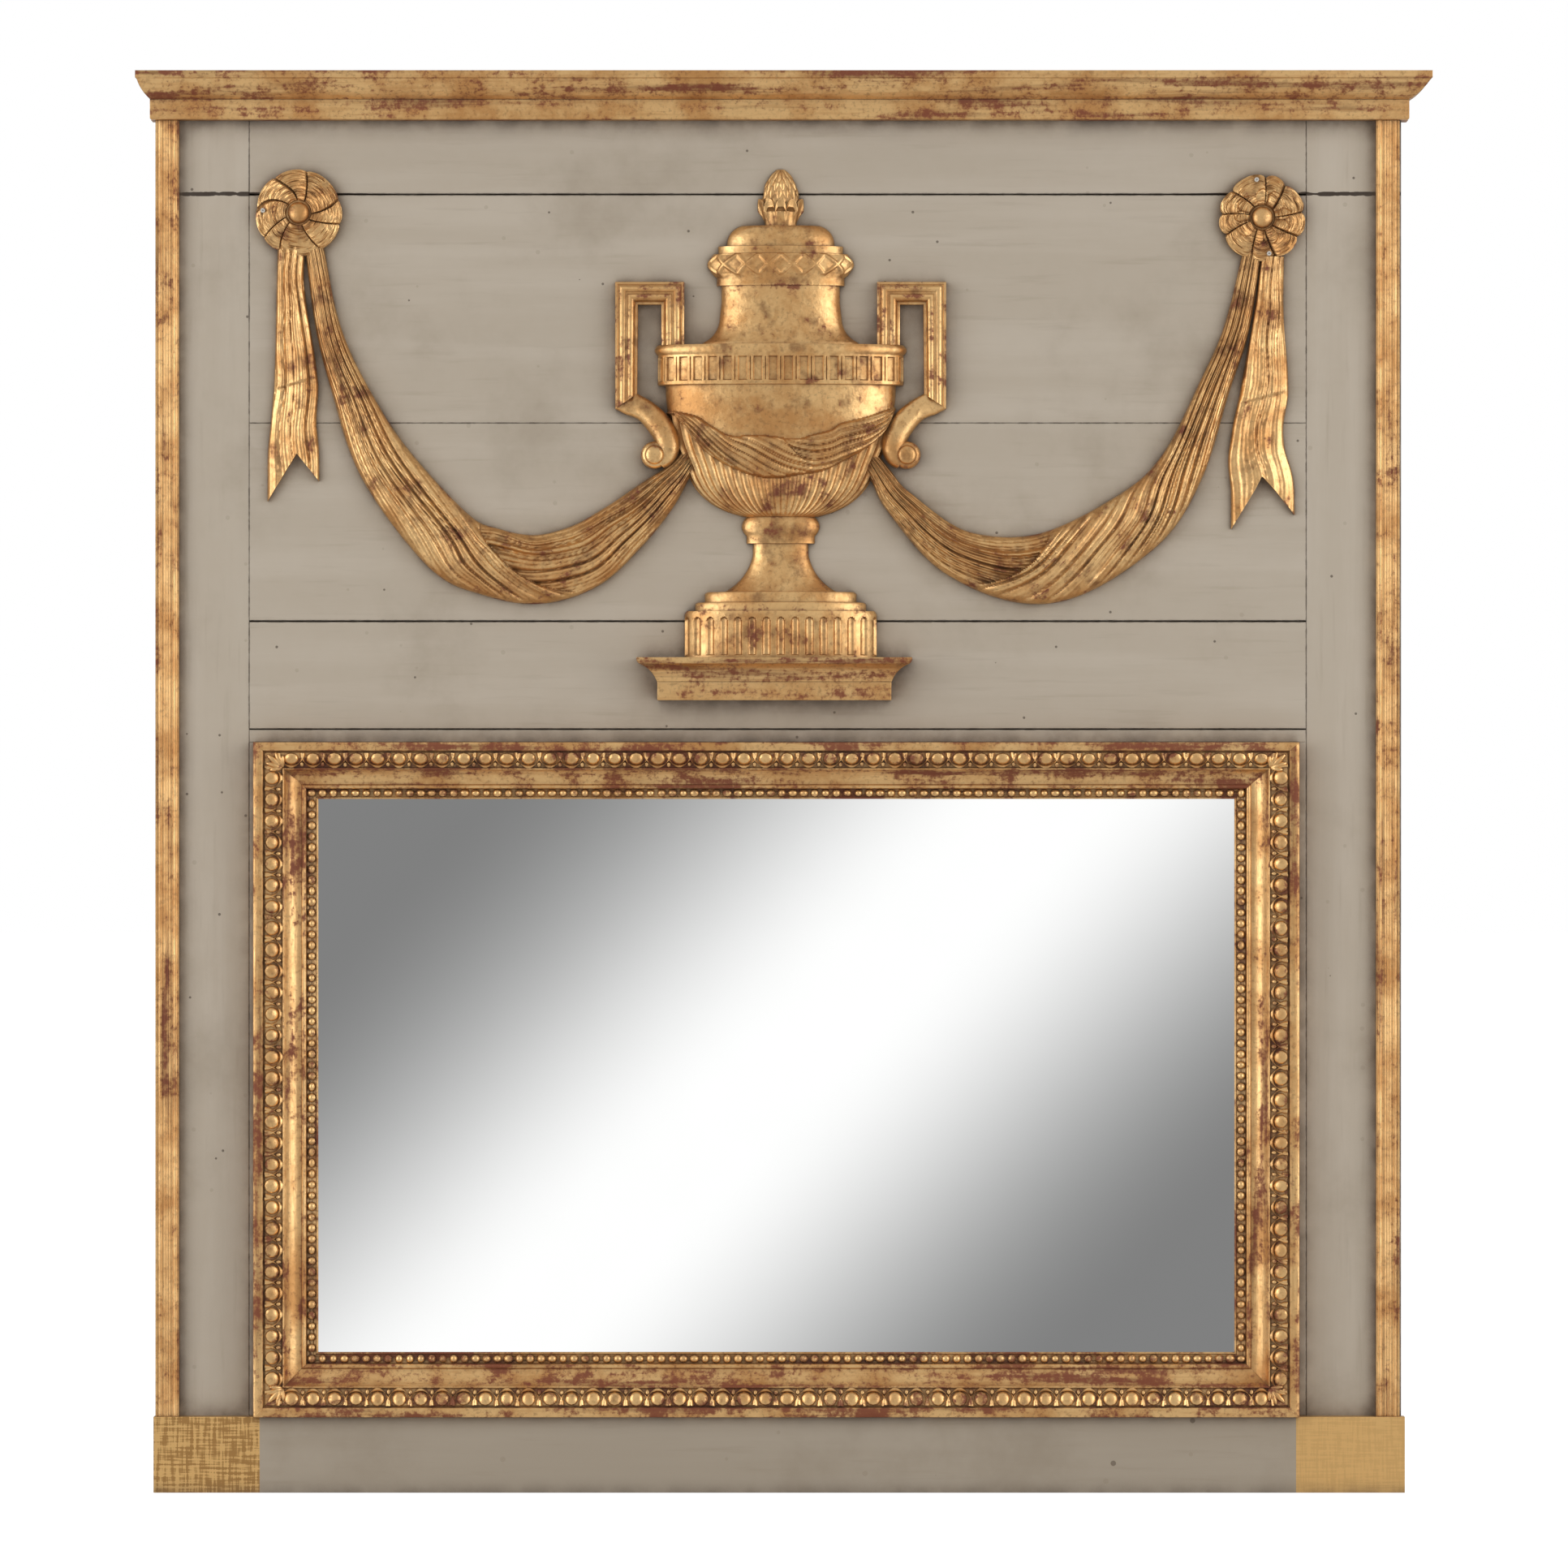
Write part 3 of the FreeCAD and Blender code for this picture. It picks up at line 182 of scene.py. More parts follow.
def finish(name):
    """A new material: its tree, its shader and the object's own coordinates."""
    made = bpy.data.materials.new(name)
    made.use_nodes = True
    tree = made.node_tree
    return made, tree, tree.nodes["Principled BSDF"], add(tree, "ShaderNodeTexCoord").outputs["Object"]


def to_wall(tree):
    """1 on the faces that look to the wall, which nobody paints or gilds."""
    facing = add(tree, "ShaderNodeTexCoord").outputs["Normal"]
    return calc(tree, "GREATER_THAN", part_of(tree, facing, 1), 0.5)


def paint_colour(tree, place, along, grime):
    """The worn grey paint's colour under a film of grime, and the height of its brush marks."""
    brushed = streaked(tree, place, along, 130.0, 3.0)
    long_mark = streaked(tree, place, along, 26.0, 5.0)
    stained = clouds(tree, place, 5.5, 6.0, 0.62)
    colour = layer(tree, between(tree, long_mark, 0.42, 0.70, 0.0, 0.55), PAINT, PAINT_PALE)
    colour = layer(tree, between(tree, stained, 0.50, 0.78, 0.0, 0.60), colour, PAINT_DARK)
    colour = layer(tree, between(tree, brushed, 0.55, 0.80, 0.0, 0.30), colour, PAINT_DARK)
    scuffs, pits, chips = [
        put(tree, flecks, Place=place, Spacing=spacing, Size=size, Rarity=rarity).outputs[0]
        for spacing, size, rarity in ((55.0, 0.22, 0.90), (34.0, 0.10, 0.62), (13.0, 0.05, 0.86))]
    for spots, share, mark in ((scuffs, 0.35, PAINT_DARK), (pits, 0.8, PIT), (chips, 0.7, GESSO)):
        colour = layer(tree, times(tree, spots, share), colour, mark)
    height = calc(tree, "SUBTRACT", calc(tree, "ADD", brushed, times(tree, long_mark, 0.6)), pits)
    return layer(tree, grime, colour, GRIME_AND_SHADE), height


def grey_paint(name, along, grime):
    """Distemper brushed along the board, darkened in the corners with dust and painted shade, and broken away
    at the arrises.
    """
    made, tree, shader, place = finish(name)
    colour, height = paint_colour(tree, place, along, grime)
    arris = put(tree, worn_arris, Place=place, Width=0.0022)
    colour = layer(tree, times(tree, arris.outputs["Mask"], 0.9), colour, CRACK)
    off_joint = calc(tree, "ABSOLUTE", calc(tree, "SUBTRACT", part_of(tree, place, 2), RAIL_JOINT))
    gape = between(tree, calc(tree, "ABSOLUTE", part_of(tree, place, 0)), 0.38, 0.55, 0.0, 0.0024)
    gape = times(tree, gape, between(tree, clouds(tree, place, 70.0), 0.3, 0.6, 0.4, 1.0))
    colour = layer(tree, calc(tree, "LESS_THAN", off_joint, gape), colour, CRACK)
    wood = layer(tree, between(tree, height, 0.6, 1.1), PINE, PINE_LATE)
    colour = layer(tree, to_wall(tree), colour, wood)
    # Dust and painted shade: a wide haze of grime colour and a tight dark layer wherever the board is closed
    # in.
    haze_and_shade = dust_and_shade_on(tree, place, 0.10, 0.42)
    dust_and_shade = dust_and_shade_on(tree, place, 0.025, 0.95)
    feed(tree, shader, {"Base Color": layer(tree, dust_and_shade, layer(tree, haze_and_shade, colour, GRIME_AND_SHADE), DUST_AND_SHADE),
                        "Roughness": between(tree, clouds(tree, place, 60.0), 0.3, 0.7, 0.62, 0.85),
                        "Normal": bump(tree, height, 0.35, 0.0006, arris.outputs["Normal"])})
    return made


def dress(surface, *names):
    """Gives CAD nodes a finish."""
    for name in names:
        held = nodes[name].data.materials
        held.clear()
        held.append(surface)


paint_up = grey_paint("grey_paint_upright", UPRIGHT, 0.0)
paint_across = grey_paint("grey_paint_across", ACROSS, 0.05)
dress(paint_up, "left_stile", "right_stile", "packing_left", "packing_right")
dress(paint_across, "top_rail", "upper_board", "lower_board", "middle_rail", "packing_top")

# ---- Gilding --------------------
# Every moulding and carving is water gilt: leaf over red bole over white gesso. The leaf is rubbed thin in
# streaks, shows the bole on ridges and in places that were handled, and is brown in the hollows with dust
# and painted shade.

LEAF = (0.86, 0.545, 0.24, 1)
OLD_LEAF = (0.58, 0.295, 0.105, 1)
BROWN_LEAF_AND_SHADE = (0.25, 0.118, 0.05, 1)
BOLE = (0.20, 0.045, 0.018, 1)
EVERY_WAY = (0.6, 0.6, 0.6)

leaf_wear, given, ends = effect(
    "leaf_wear", {"Color": "Color", "Roughness": "Float", "Metallic": "Float", "Height": "Float"},
    Place=(0, 0, 0), Stretch=(1, 1, 1), Rubbed=0.4, Ridge=0.0, Hollow=0.0, Dust=0.0)
spot, drawn, ridge, hollow_dust_and_shade = [given[label] for label in ("Place", "Stretch", "Ridge", "Hollow")]
rub = streaked(leaf_wear, spot, drawn, 75.0, 5.0)
fine_rub = streaked(leaf_wear, spot, drawn, 260.0, 3.0)
tarnish = clouds(leaf_wear, spot, 17.0, 7.0, 0.65)
patches = clouds(leaf_wear, spot, 34.0, 8.0, 0.75)
speckle = clouds(leaf_wear, spot, 210.0, 4.0, 0.62)
# BROWN_LEAF_AND_SHADE is both rubbed, tarnished leaf in streaks and painted shade in the hollows.
tone = layer(leaf_wear, between(leaf_wear, tarnish, 0.38, 0.64), LEAF, OLD_LEAF)
for share, over in ((between(leaf_wear, rub, 0.50, 0.70, 0.0, 0.75), BROWN_LEAF_AND_SHADE),
                    (between(leaf_wear, speckle, 0.50, 0.68, 0.0, 0.38), BROWN_LEAF_AND_SHADE),
                    (between(leaf_wear, fine_rub, 0.50, 0.70, 0.0, 0.40), OLD_LEAF),
                    (times(leaf_wear, hollow_dust_and_shade, 0.85), BROWN_LEAF_AND_SHADE), (times(leaf_wear, ridge, 0.6), LEAF)):
    tone = layer(leaf_wear, share, tone, over)
through = times(leaf_wear, rub, 0.35)
for mark, part in ((patches, 0.45), (speckle, 0.20), (ridge, 0.06), (given["Rubbed"], 0.20)):
    through = calc(leaf_wear, "ADD", through, times(leaf_wear, mark, part))
red = between(leaf_wear, through, 0.59, 0.67, 0.0, 0.9)
# Dust and painted shade: the dark dust colour and a duller leaf wherever the surface is closed in.
dust_and_shade_share = calc(leaf_wear, "MINIMUM", given["Dust"], 1.0)
dull = calc(leaf_wear, "MAXIMUM", red, dust_and_shade_share)
matt = times(leaf_wear, calc(leaf_wear, "MAXIMUM", dull, hollow_dust_and_shade), 0.20)
feed(leaf_wear, ends, {
    "Color": layer(leaf_wear, dust_and_shade_share, layer(leaf_wear, red, tone, BOLE), DUST_AND_SHADE),
    "Metallic": calc(leaf_wear, "SUBTRACT", 0.94, times(leaf_wear, dull, 0.72)),
    "Roughness": calc(leaf_wear, "ADD", between(leaf_wear, tarnish, 0.3, 0.7, 0.28, 0.44), matt),
    "Height": calc(leaf_wear, "ADD", speckle, calc(leaf_wear, "ADD", rub, fine_rub))})


def gilding(name, along, rubbed, dusty_and_shaded, carved=False):
    """Leaf over bole. along draws out the streaks, rubbed is how much bole shows, dusty_and_shaded how brown
    the hollows are, with dust and painted shade."""
    made, tree, shader, place = finish(name)
    arris = put(tree, worn_arris, Place=place, Width=0.0006 if carved else 0.0012)
    ridge = arris.outputs["Mask"]
    if carved:
        ridge = between(tree, add(tree, "ShaderNodeNewGeometry").outputs["Pointiness"], 0.515, 0.57)
    # Dust and painted shade in the hollows: both masks come from how closed in the surface is.
    hollow_dust_and_shade = dust_and_shade_on(tree, place, 0.030, 0.8 * dusty_and_shaded)
    dust_and_shade = dust_and_shade_on(tree, place, 0.009, dusty_and_shaded)
    worn = put(tree, leaf_wear, Place=place, Stretch=along, Rubbed=rubbed, Ridge=ridge, Hollow=hollow_dust_and_shade,
               Dust=dust_and_shade).outputs
    back = to_wall(tree)
    feed(tree, shader, {"Base Color": layer(tree, back, worn["Color"], PINE),
                        "Roughness": worn["Roughness"],
                        "Metallic": times(tree, worn["Metallic"], calc(tree, "SUBTRACT", 1.0, back)),
                        "Normal": bump(tree, worn["Height"], 0.5, 0.0006, arris.outputs["Normal"])})
    return made


gilt_up = gilding("gilding_upright", UPRIGHT, 0.30, 0.35)
gilt_across = gilding("gilding_across", ACROSS, 0.44, 1.0)
gilt_carving = gilding("gilding_of_carving", EVERY_WAY, 0.22, 0.5, True)
dress(gilt_up, "reeded_strip_left", "reeded_strip_right")
dress(gilt_across, "cornice_fascia", "cornice_crown", "fascia_return_left", "fascia_return_right",
      "crown_return_left", "crown_return_right", "bracket_shelf")

# ---- Plinth board --------------------
# A plain painted board across the foot. Its two ends were gilded later in flat gold, hatched with a dry
# brush both ways.

PLINTH_GOLD_LEFT = -0.5486
PLINTH_GOLD_RIGHT = 0.5458
FLAT_GOLD = (0.40, 0.21, 0.06, 1)
FLAT_GOLD_PALE = (0.74, 0.45, 0.165, 1)

plinth_paint, tree, shader, place = finish("plinth_paint_with_gilt_ends")
colour, height = paint_colour(tree, place, ACROSS, 0.40)
side = part_of(tree, place, 0)
gilded = calc(tree, "MAXIMUM", calc(tree, "LESS_THAN", side, PLINTH_GOLD_LEFT),
              calc(tree, "GREATER_THAN", side, PLINTH_GOLD_RIGHT))
hatch_across = streaked(tree, place, ACROSS, 420.0, 2.0)
hatch = times(tree, calc(tree, "ADD", hatch_across, streaked(tree, place, UPRIGHT, 420.0, 2.0)), 0.5)
gold = layer(tree, between(tree, hatch, 0.44, 0.56), FLAT_GOLD, FLAT_GOLD_PALE)
gold = layer(tree, between(tree, side, -0.1, 0.1, 0.0, 0.8), gold, FLAT_GOLD_PALE)
arris = put(tree, worn_arris, Place=place, Width=0.0012)
# Dust and painted shade in the corners, from how closed in the surface is.
dust_and_shade = dust_and_shade_on(tree, place, 0.02, 0.7)
height = calc(tree, "ADD", height, times(tree, gilded, hatch))
feed(tree, shader, {"Base Color": layer(tree, dust_and_shade, layer(tree, gilded, colour, gold), DUST_AND_SHADE),
                    "Roughness": between(tree, gilded, 0.0, 1.0, 0.75, 0.42),
                    "Metallic": times(tree, gilded, 0.45),
                    "Normal": bump(tree, height, 0.35, 0.0005, arris.outputs["Normal"])})
dress(plinth_paint, "plinth_board")

# ---- Mirror glass --------------------
# A 4 mm silvered plate in the frame's rebate, faintly clouded with age. It mirrors whatever stands before
# it, and its back is sealed with a brown-grey paint.

SILVER, CLOUDED_SILVER = (0.96, 0.965, 0.96, 1), (0.80, 0.80, 0.78, 1)
BACKING_PAINT = (0.16, 0.11, 0.08, 1)

glass_finish, tree, shader, place = finish("silvered_plate")
backed = to_wall(tree)
silver = layer(tree, between(tree, clouds(tree, place, 9.0), 0.3, 0.8, 0.0, 0.06), SILVER, CLOUDED_SILVER)
feed(tree, shader, {"Base Color": layer(tree, backed, silver, BACKING_PAINT),
                    "Metallic": calc(tree, "SUBTRACT", 1.0, backed),
                    "Roughness": between(tree, backed, 0.0, 1.0, 0.012, 0.7)})
dress(glass_finish, "mirror_glass")

# ---- Back of the mirror --------------------
# Unpainted pine gone brown: battens, backboards, cleats, glazing blocks, and the rail and cap that nobody
# sees. Screws, straps and D-rings are plain steel, dulled.

PINE_PALE = (0.42, 0.28, 0.16, 1)
STEEL, STEEL_RUST = (0.42, 0.40, 0.37, 1), (0.16, 0.10, 0.065, 1)


def bare_pine(name, along):
    made, tree, shader, place = finish(name)
    grain = streaked(tree, place, along, 95.0, 5.0)
    broad = streaked(tree, place, along, 16.0, 3.0)
    colour = layer(tree, between(tree, grain, 0.40, 0.66), PINE, PINE_LATE)
    colour = layer(tree, between(tree, broad, 0.45, 0.70, 0.0, 0.5), colour, PINE_PALE)
    # Dust and painted shade in the corners, from how closed in the surface is.
    dust_and_shade = dust_and_shade_on(tree, place, 0.02, 0.8)
    plain = add(tree, "ShaderNodeNewGeometry").outputs["Normal"]
    feed(tree, shader, {"Base Color": layer(tree, dust_and_shade, colour, DUST_AND_SHADE),
                        "Roughness": between(tree, grain, 0.3, 0.7, 0.66, 0.86),
                        "Normal": bump(tree, grain, 0.4, 0.0008, plain)})
    return made


pine_up = bare_pine("bare_pine_upright", (1.0, 1.0, 0.05))
pine_across = bare_pine("bare_pine_across", (0.05, 1.0, 1.0))
dress(pine_up, "batten_left", "batten_right", "frame_cleats")
dress(pine_across, "batten_foot", "bottom_rail", "cornice_cap", "glazing_blocks", "mirror_backboard_1",
      "mirror_backboard_2", "mirror_backboard_3", "mirror_backboard_4")

steel, tree, shader, place = finish("dull_steel")
tarnish = clouds(tree, place, 160.0, 6.0, 0.6)
feed(tree, shader, {"Base Color": layer(tree, between(tree, tarnish, 0.5, 0.72), STEEL, STEEL_RUST),
                    "Metallic": between(tree, tarnish, 0.45, 0.7, 0.95, 0.35),
                    "Roughness": between(tree, tarnish, 0.3, 0.7, 0.32, 0.62)})
dress(steel, "batten_screws", "cleat_screws", "hanger_screws", "hanger_strap_left", "hanger_strap_right",
      "hanger_ring_left", "hanger_ring_right")

# ---- Mirror frame --------------------
# Four mitred members of one moulding. From the sight edge out: a fillet, a bed for pearls, a ridge, a plain
# hollow, a bed for eggs and a flat band. The top member is a little narrower than the others.

MEMBERS = ["frame_top", "frame_right", "frame_bottom", "frame_left"]
CORNERS = [Vector((-487.5, 0, 732.5)), Vector((481.5, 0, 732.5)), Vector((481.5, 0, 147.5)),
           Vector((-487.5, 0, 147.5))]
WAYS = [Vector((1, 0, 0)), Vector((0, 0, -1)), Vector((-1, 0, 0)), Vector((0, 0, 1))]
NARROWED = [60 / 67.5, 1.0, 1.0, 1.0]
MOULDING = [(0, -46), (0, -47.6), (0.6, -48.2), (1.8, -48.2), (2.6, -47), (4.5, -46.4), (9.5, -46.4),
            (11.4, -47.6), (12.2, -51.5), (13, -53), (14.2, -53.8), (15.8, -53.8), (16.9, -53),
            (17.5, -51.9), (19.5, -52), (23, -53), (26.5, -54.7), (30, -57.4), (32.6, -60.2), (34.2, -62.6),
            (34.9, -64), (35.5, -64.7), (36.4, -64.7), (37, -64), (37.6, -62.4), (42, -63.4), (47, -64.8),
            (52, -66.2), (54.8, -66.4), (55.8, -65.4), (56.3, -65.4), (56.9, -68.6), (57.6, -69.8),
            (58.4, -70), (65.4, -70), (67, -69.4), (67.5, -68), (67.5, -20), (10, -20), (10, -46)]
REBATE = -46
MEMBER_STATIONS = 60
MM = 0.001


def placed(name, mesh, surface, *stands_for):
    """Puts a finished carving on the mirror and lets it stand for the plain solids of its piece."""
    mesh.materials.clear()
    mesh.materials.append(surface)
    mesh.shade_smooth()
    mesh.set_sharp_from_angle(angle=math.radians(38))
    made = bpy.data.objects.new(name, mesh)
    bpy.context.scene.collection.objects.link(made)
    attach(made, "root")
    if stands_for:
        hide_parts(*stands_for)
    return made


def made_mesh(name, shape):
    """The finished mesh of a shape, with its faces turned out."""
    bmesh.ops.recalc_face_normals(shape, faces=shape.faces)
    mesh = bpy.data.meshes.new(name)
    shape.to_mesh(mesh)
    shape.free()
    return mesh


def carving(name, shape, surface, *stands_for):
    return placed(name, made_mesh(name, shape), surface, *stands_for)


def shell(name, rows, surface, *stands_for):
    """A closed carving from rows of spots that go round it, each row a loop."""
    shape = bmesh.new()
    loops = [[shape.verts.new(Vector(spot) * MM) for spot in row] for row in rows]
    for low, high in zip(loops, loops[1:]):
        for n in range(len(low)):
            shape.faces.new((low[n - 1], low[n], high[n], high[n - 1]))
    shape.faces.new(loops[0])
    shape.faces.new(loops[-1])
    carving(name, shape, surface, *stands_for)


def frame_line(n, away):
    """Both mitred ends of a line along a member, away from the sight edge, and the way out from there."""
    out = WAYS[n].cross(Vector((0, 1, 0)))
    start = CORNERS[n] - WAYS[n] * away * NARROWED[n - 1] + out * away * NARROWED[n]
    end = CORNERS[(n + 1) % 4] + WAYS[n] * away * NARROWED[(n + 1) % 4] + out * away * NARROWED[n]
    return start, end, out


gilt_frame_up = gilding("gilding_of_frame_upright", UPRIGHT, 0.42, 0.75)
gilt_frame_across = gilding("gilding_of_frame_across", ACROSS, 0.56, 0.75)
gilt_courses = gilding("gilding_of_courses", EVERY_WAY, 0.14, 0.08, True)
for n, member in enumerate(MEMBERS):
    lines = [(frame_line(n, away), level) for away, level in MOULDING]
    rows = []
    for step in range(MEMBER_STATIONS + 1):
        row = []
        for (start, end, _), level in lines:
            spot = start.lerp(end, step / MEMBER_STATIONS)
            planed = 0.35 * abs(noise.noise(spot * 0.025)) if level < REBATE else 0.0
            row.append((spot.x, level + planed, spot.z))
        rows.append(row)
    shell("moulded_" + member, rows, gilt_frame_up if n % 2 else gilt_frame_across, member)

# ---- Eggs and pearls of the mirror frame --------------------
# Two courses cut into the members: pearls at the sight edge, and round the outside eggs in rims that cross
# one another, with small darts between them and a leaf across each mitre.

EGG_LINE, EGG_FACE, EGG_PITCH = 46.3, -64.6, 23.0
PEARL_LINE, PEARL_FACE, PEARL_PITCH = 7.1, -48.4, 11.5

row_of_carving = bpy.data.node_groups.new("row_of_carving", "GeometryNodeTree")
row_sockets = {}
for label, kind in (("Unit", "Geometry"), ("Count", "Int"), ("Pitch", "Float"), ("Unevenness", "Float"),
                    ("Seed", "Int"), ("Finish", "Material")):
    socket = row_of_carving.interface.new_socket(label, in_out="INPUT", socket_type="NodeSocket" + kind)
    row_sockets[label] = socket.identifier
row_of_carving.interface.new_socket("Row", in_out="OUTPUT", socket_type="NodeSocketGeometry")
given = add(row_of_carving, "NodeGroupInput").outputs
step = add(row_of_carving, "ShaderNodeCombineXYZ", {0: given["Pitch"]})
line = add(row_of_carving, "GeometryNodeMeshLine", {"Count": given["Count"], "Offset": step.outputs[0]})
smallest = add(row_of_carving, "ShaderNodeMath", {0: 1.0, 1: given["Unevenness"]}, operation="SUBTRACT")
swollen = add(row_of_carving, "FunctionNodeRandomValue", data_type="FLOAT_VECTOR")
feed(row_of_carving, swollen, {0: smallest.outputs[0], 1: (1.02, 1.02, 1.02), "Seed": given["Seed"]})
units = add(row_of_carving, "GeometryNodeInstanceOnPoints",
            {"Points": line.outputs[0], "Instance": given["Unit"], "Scale": swollen.outputs[0]})
real = add(row_of_carving, "GeometryNodeRealizeInstances", {0: units.outputs[0]})
gilt = add(row_of_carving, "GeometryNodeSetMaterial", {0: real.outputs[0], "Material": given["Finish"]})
add(row_of_carving, "NodeGroupOutput", {0: gilt.outputs[0]})


def knob(shape, middle, radii, round_count=10, up_count=6):
    """A closed rounded knob in millimetres."""
    made = bmesh.ops.create_uvsphere(shape, u_segments=round_count, v_segments=up_count, radius=1)
    for vert in made["verts"]:
        vert.co = Vector(m + r * c for m, r, c in zip(middle, radii, vert.co)) * MM


def rim(shape, wide, high, foot, thick, turns=11, sides=5):
    """A rounded rib that goes round an egg from foot to foot."""
    rings = []
    for n in range(turns + 1):
        turn = math.pi * n / turns
        out = Vector((math.cos(turn), math.sin(turn), 0))
        middle = Vector((wide * out.x, foot + high * out.y, 0))
        ring = []
        for k in range(sides):
            lean = 2 * math.pi * k / sides
            spot = middle + out * thick * math.cos(lean) + Vector((0, 0, 1.4 + thick * math.sin(lean) * 1.3))
            ring.append(shape.verts.new(spot * MM))
        rings.append(ring)
    for low, high_ring in zip(rings, rings[1:]):
        for k in range(sides):
            shape.faces.new((low[k], low[k - 1], high_ring[k - 1], high_ring[k]))
    shape.faces.new(rings[0])
    shape.faces.new(rings[-1][::-1])


def course(name, fill, away, face, pitch, clear, uneven, seed):
    """One course round the frame, as one mesh. clear is left free of it each side of a mitre."""
    shape = bmesh.new()
    fill(shape)
    unit = made_mesh(name + "_unit", shape)
    carved = bpy.data.objects.new(name + "_unit", unit)
    bpy.context.scene.collection.objects.link(carved)
    rows = carved.modifiers.new("row", "NODES")
    rows.node_group = row_of_carving
    whole = bmesh.new()
    for n in range(4):
        start, end, out = frame_line(n, away)
        length = (end - start).length - 2 * clear
        count = round(length / pitch)
        for label, value in (("Count", count + (1 if clear else 0)), ("Pitch", length / count * MM),
                             ("Unevenness", uneven), ("Seed", seed + n), ("Finish", gilt_courses)):
            rows[row_sockets[label]] = value
        carved.update_tag()
        bpy.context.view_layer.update()
        held = carved.evaluated_get(bpy.context.evaluated_depsgraph_get())
        side = bpy.data.meshes.new_from_object(held)
        origin = start + WAYS[n] * clear + Vector((0, face, 0))
        along_member = Matrix((WAYS[n], out * NARROWED[n], (0, -1, 0))).transposed().to_4x4()
        side.transform(Matrix.Translation(origin * MM) @ along_member)
        whole.from_mesh(side)
        bpy.data.meshes.remove(side)
    mesh = bpy.data.meshes.new(name)
    whole.to_mesh(mesh)
    whole.free()
    bpy.data.objects.remove(carved)
    placed(name, mesh, gilt_courses)


def egg_unit(shape):
    """An egg in its rim, with a pair of darts at one side, all leaning in with the bed."""
    knob(shape, (0, 1.6, 0.6), (8.0, 7.8, 3.0))
    rim(shape, 13.6, -17.2, 8.8, 2.0)
    knob(shape, (11.5, -5.6, 1.2), (2.5, 3.4, 3.0), 6, 4)
    knob(shape, (11.5, 5.6, 0.6), (2.2, 3.0, 2.6), 6, 4)
    for vert in shape.verts:
        vert.co.z += vert.co.y * 0.24


def pearl_unit(shape):
    knob(shape, (0, 0, 0), (5.1, 4.6, 4.3), 10, 7)


course("egg_course", egg_unit, EGG_LINE, EGG_FACE, EGG_PITCH, 19.0, 0.12, 3)
course("pearl_course", pearl_unit, PEARL_LINE, PEARL_FACE, PEARL_PITCH, 0.0, 0.22, 11)

shape = bmesh.new()
for n in range(4):
    root = frame_line(n, 36.5)[0]
    diagonal = (frame_line(n, 57.0)[0] - root).normalized()
    for turn, length, wide in ((0, 22, 3.4), (0.42, 19, 3.0), (-0.42, 19, 3.0), (0.85, 14, 2.6),
                               (-0.85, 14, 2.6)):
        way = Matrix.Rotation(turn, 3, "Y") @ diagonal
        beside = way.cross(Vector((0, 1, 0)))
        lobe = bmesh.ops.create_uvsphere(shape, u_segments=10, v_segments=7, radius=1)["verts"]
        for vert in lobe:
            flat = root + way * length * (0.5 + 0.5 * vert.co.x) + beside * wide * vert.co.y
            vert.co = Vector((flat.x, EGG_FACE - 3.4 * vert.co.z - 1.8 * vert.co.x, flat.z)) * MM
carving("corner_leaves", shape, gilt_courses)

# ---- Urn --------------------
# Carved limewood in half relief, planted on the boards: a fluted drum, a turned foot, a bowl with a fluted
# frieze, drapery and gadroons, a waisted neck, a domed lid with a lattice ring, and a pine cone.

URN_X, FACE_Y = 1.6, -44.0
URN_RELIEF, CONE_RELIEF = 0.34, 0.6


def smooth_path(knots):
    """A smooth curve through (place, value) knots, as a function of place."""
    def at(place):
        place = min(max(place, knots[0][0]), knots[-1][0])
        n = max(k for k in range(len(knots) - 1) if knots[k][0] <= place)
        (x0, y0), (x1, y1) = knots[n], knots[n + 1]
        before, after = knots[max(n - 1, 0)], knots[min(n + 2, len(knots) - 1)]
        slope0 = (y1 - before[1]) / (x1 - before[0])
        slope1 = (after[1] - y0) / (after[0] - x0)
        t = (place - x0) / (x1 - x0)
        span = x1 - x0
        return (y0 * (1 + 2 * t) * (1 - t) ** 2 + y1 * t * t * (3 - 2 * t)
                + span * (slope0 * t * (1 - t) ** 2 + slope1 * t * t * (t - 1)))
    return at


def smooth_paths(stations):
    """A smooth curve for each part of the stations, as functions of the station's number."""
    return [smooth_path(list(enumerate(part))) for part in zip(*stations)]


def bulge(start, end, swell, steps=10):
    """A profile's arc from start up to end, in (half width, up), short of its end."""
    step_x, step_y = end[0] - start[0], end[1] - start[1]
    spots = []
    for n in range(steps):
        share = n / steps
        bow = 2 * swell * share * (1 - share)
        spots.append((start[0] + step_x * share + step_y * bow, start[1] + step_y * share - step_x * bow))
    return spots


def ladder(start, end, steps):
    return bulge(start, end, 0.0, steps)


def even_turns(relief, count):
    """Turns from the left round to the right of a flattened half round, evenly spaced along its face."""
    fine = [math.pi * (1 - n / 2000) for n in range(2001)]
    reach = [0.0]
    for a, b in zip(fine, fine[1:]):
        reach.append(reach[-1] + math.hypot(math.cos(b) - math.cos(a), relief * (math.sin(b) - math.sin(a))))
    turns, k = [], 0
    for n in range(count + 1):
        wanted = reach[-1] * n / count
        while k < 2000 and reach[k] < wanted:
            k += 1
        turns.append(fine[k])
    return turns


def half_round(half, up, turns, relief, proud=None):
    """One row of a turned piece. proud(share, x, up) lifts or sinks the face."""
    row = []
    for n, turn in enumerate(turns):
        out = Vector((math.cos(turn) * relief, math.sin(turn))).normalized()
        lift = proud(n / (len(turns) - 1), half * math.cos(turn), up) if proud else 0.0
        row.append((URN_X + half * math.cos(turn) + out.x * lift,
                    FACE_Y - max(half * relief * math.sin(turn) + out.y * lift, 0.0), up))
    return row


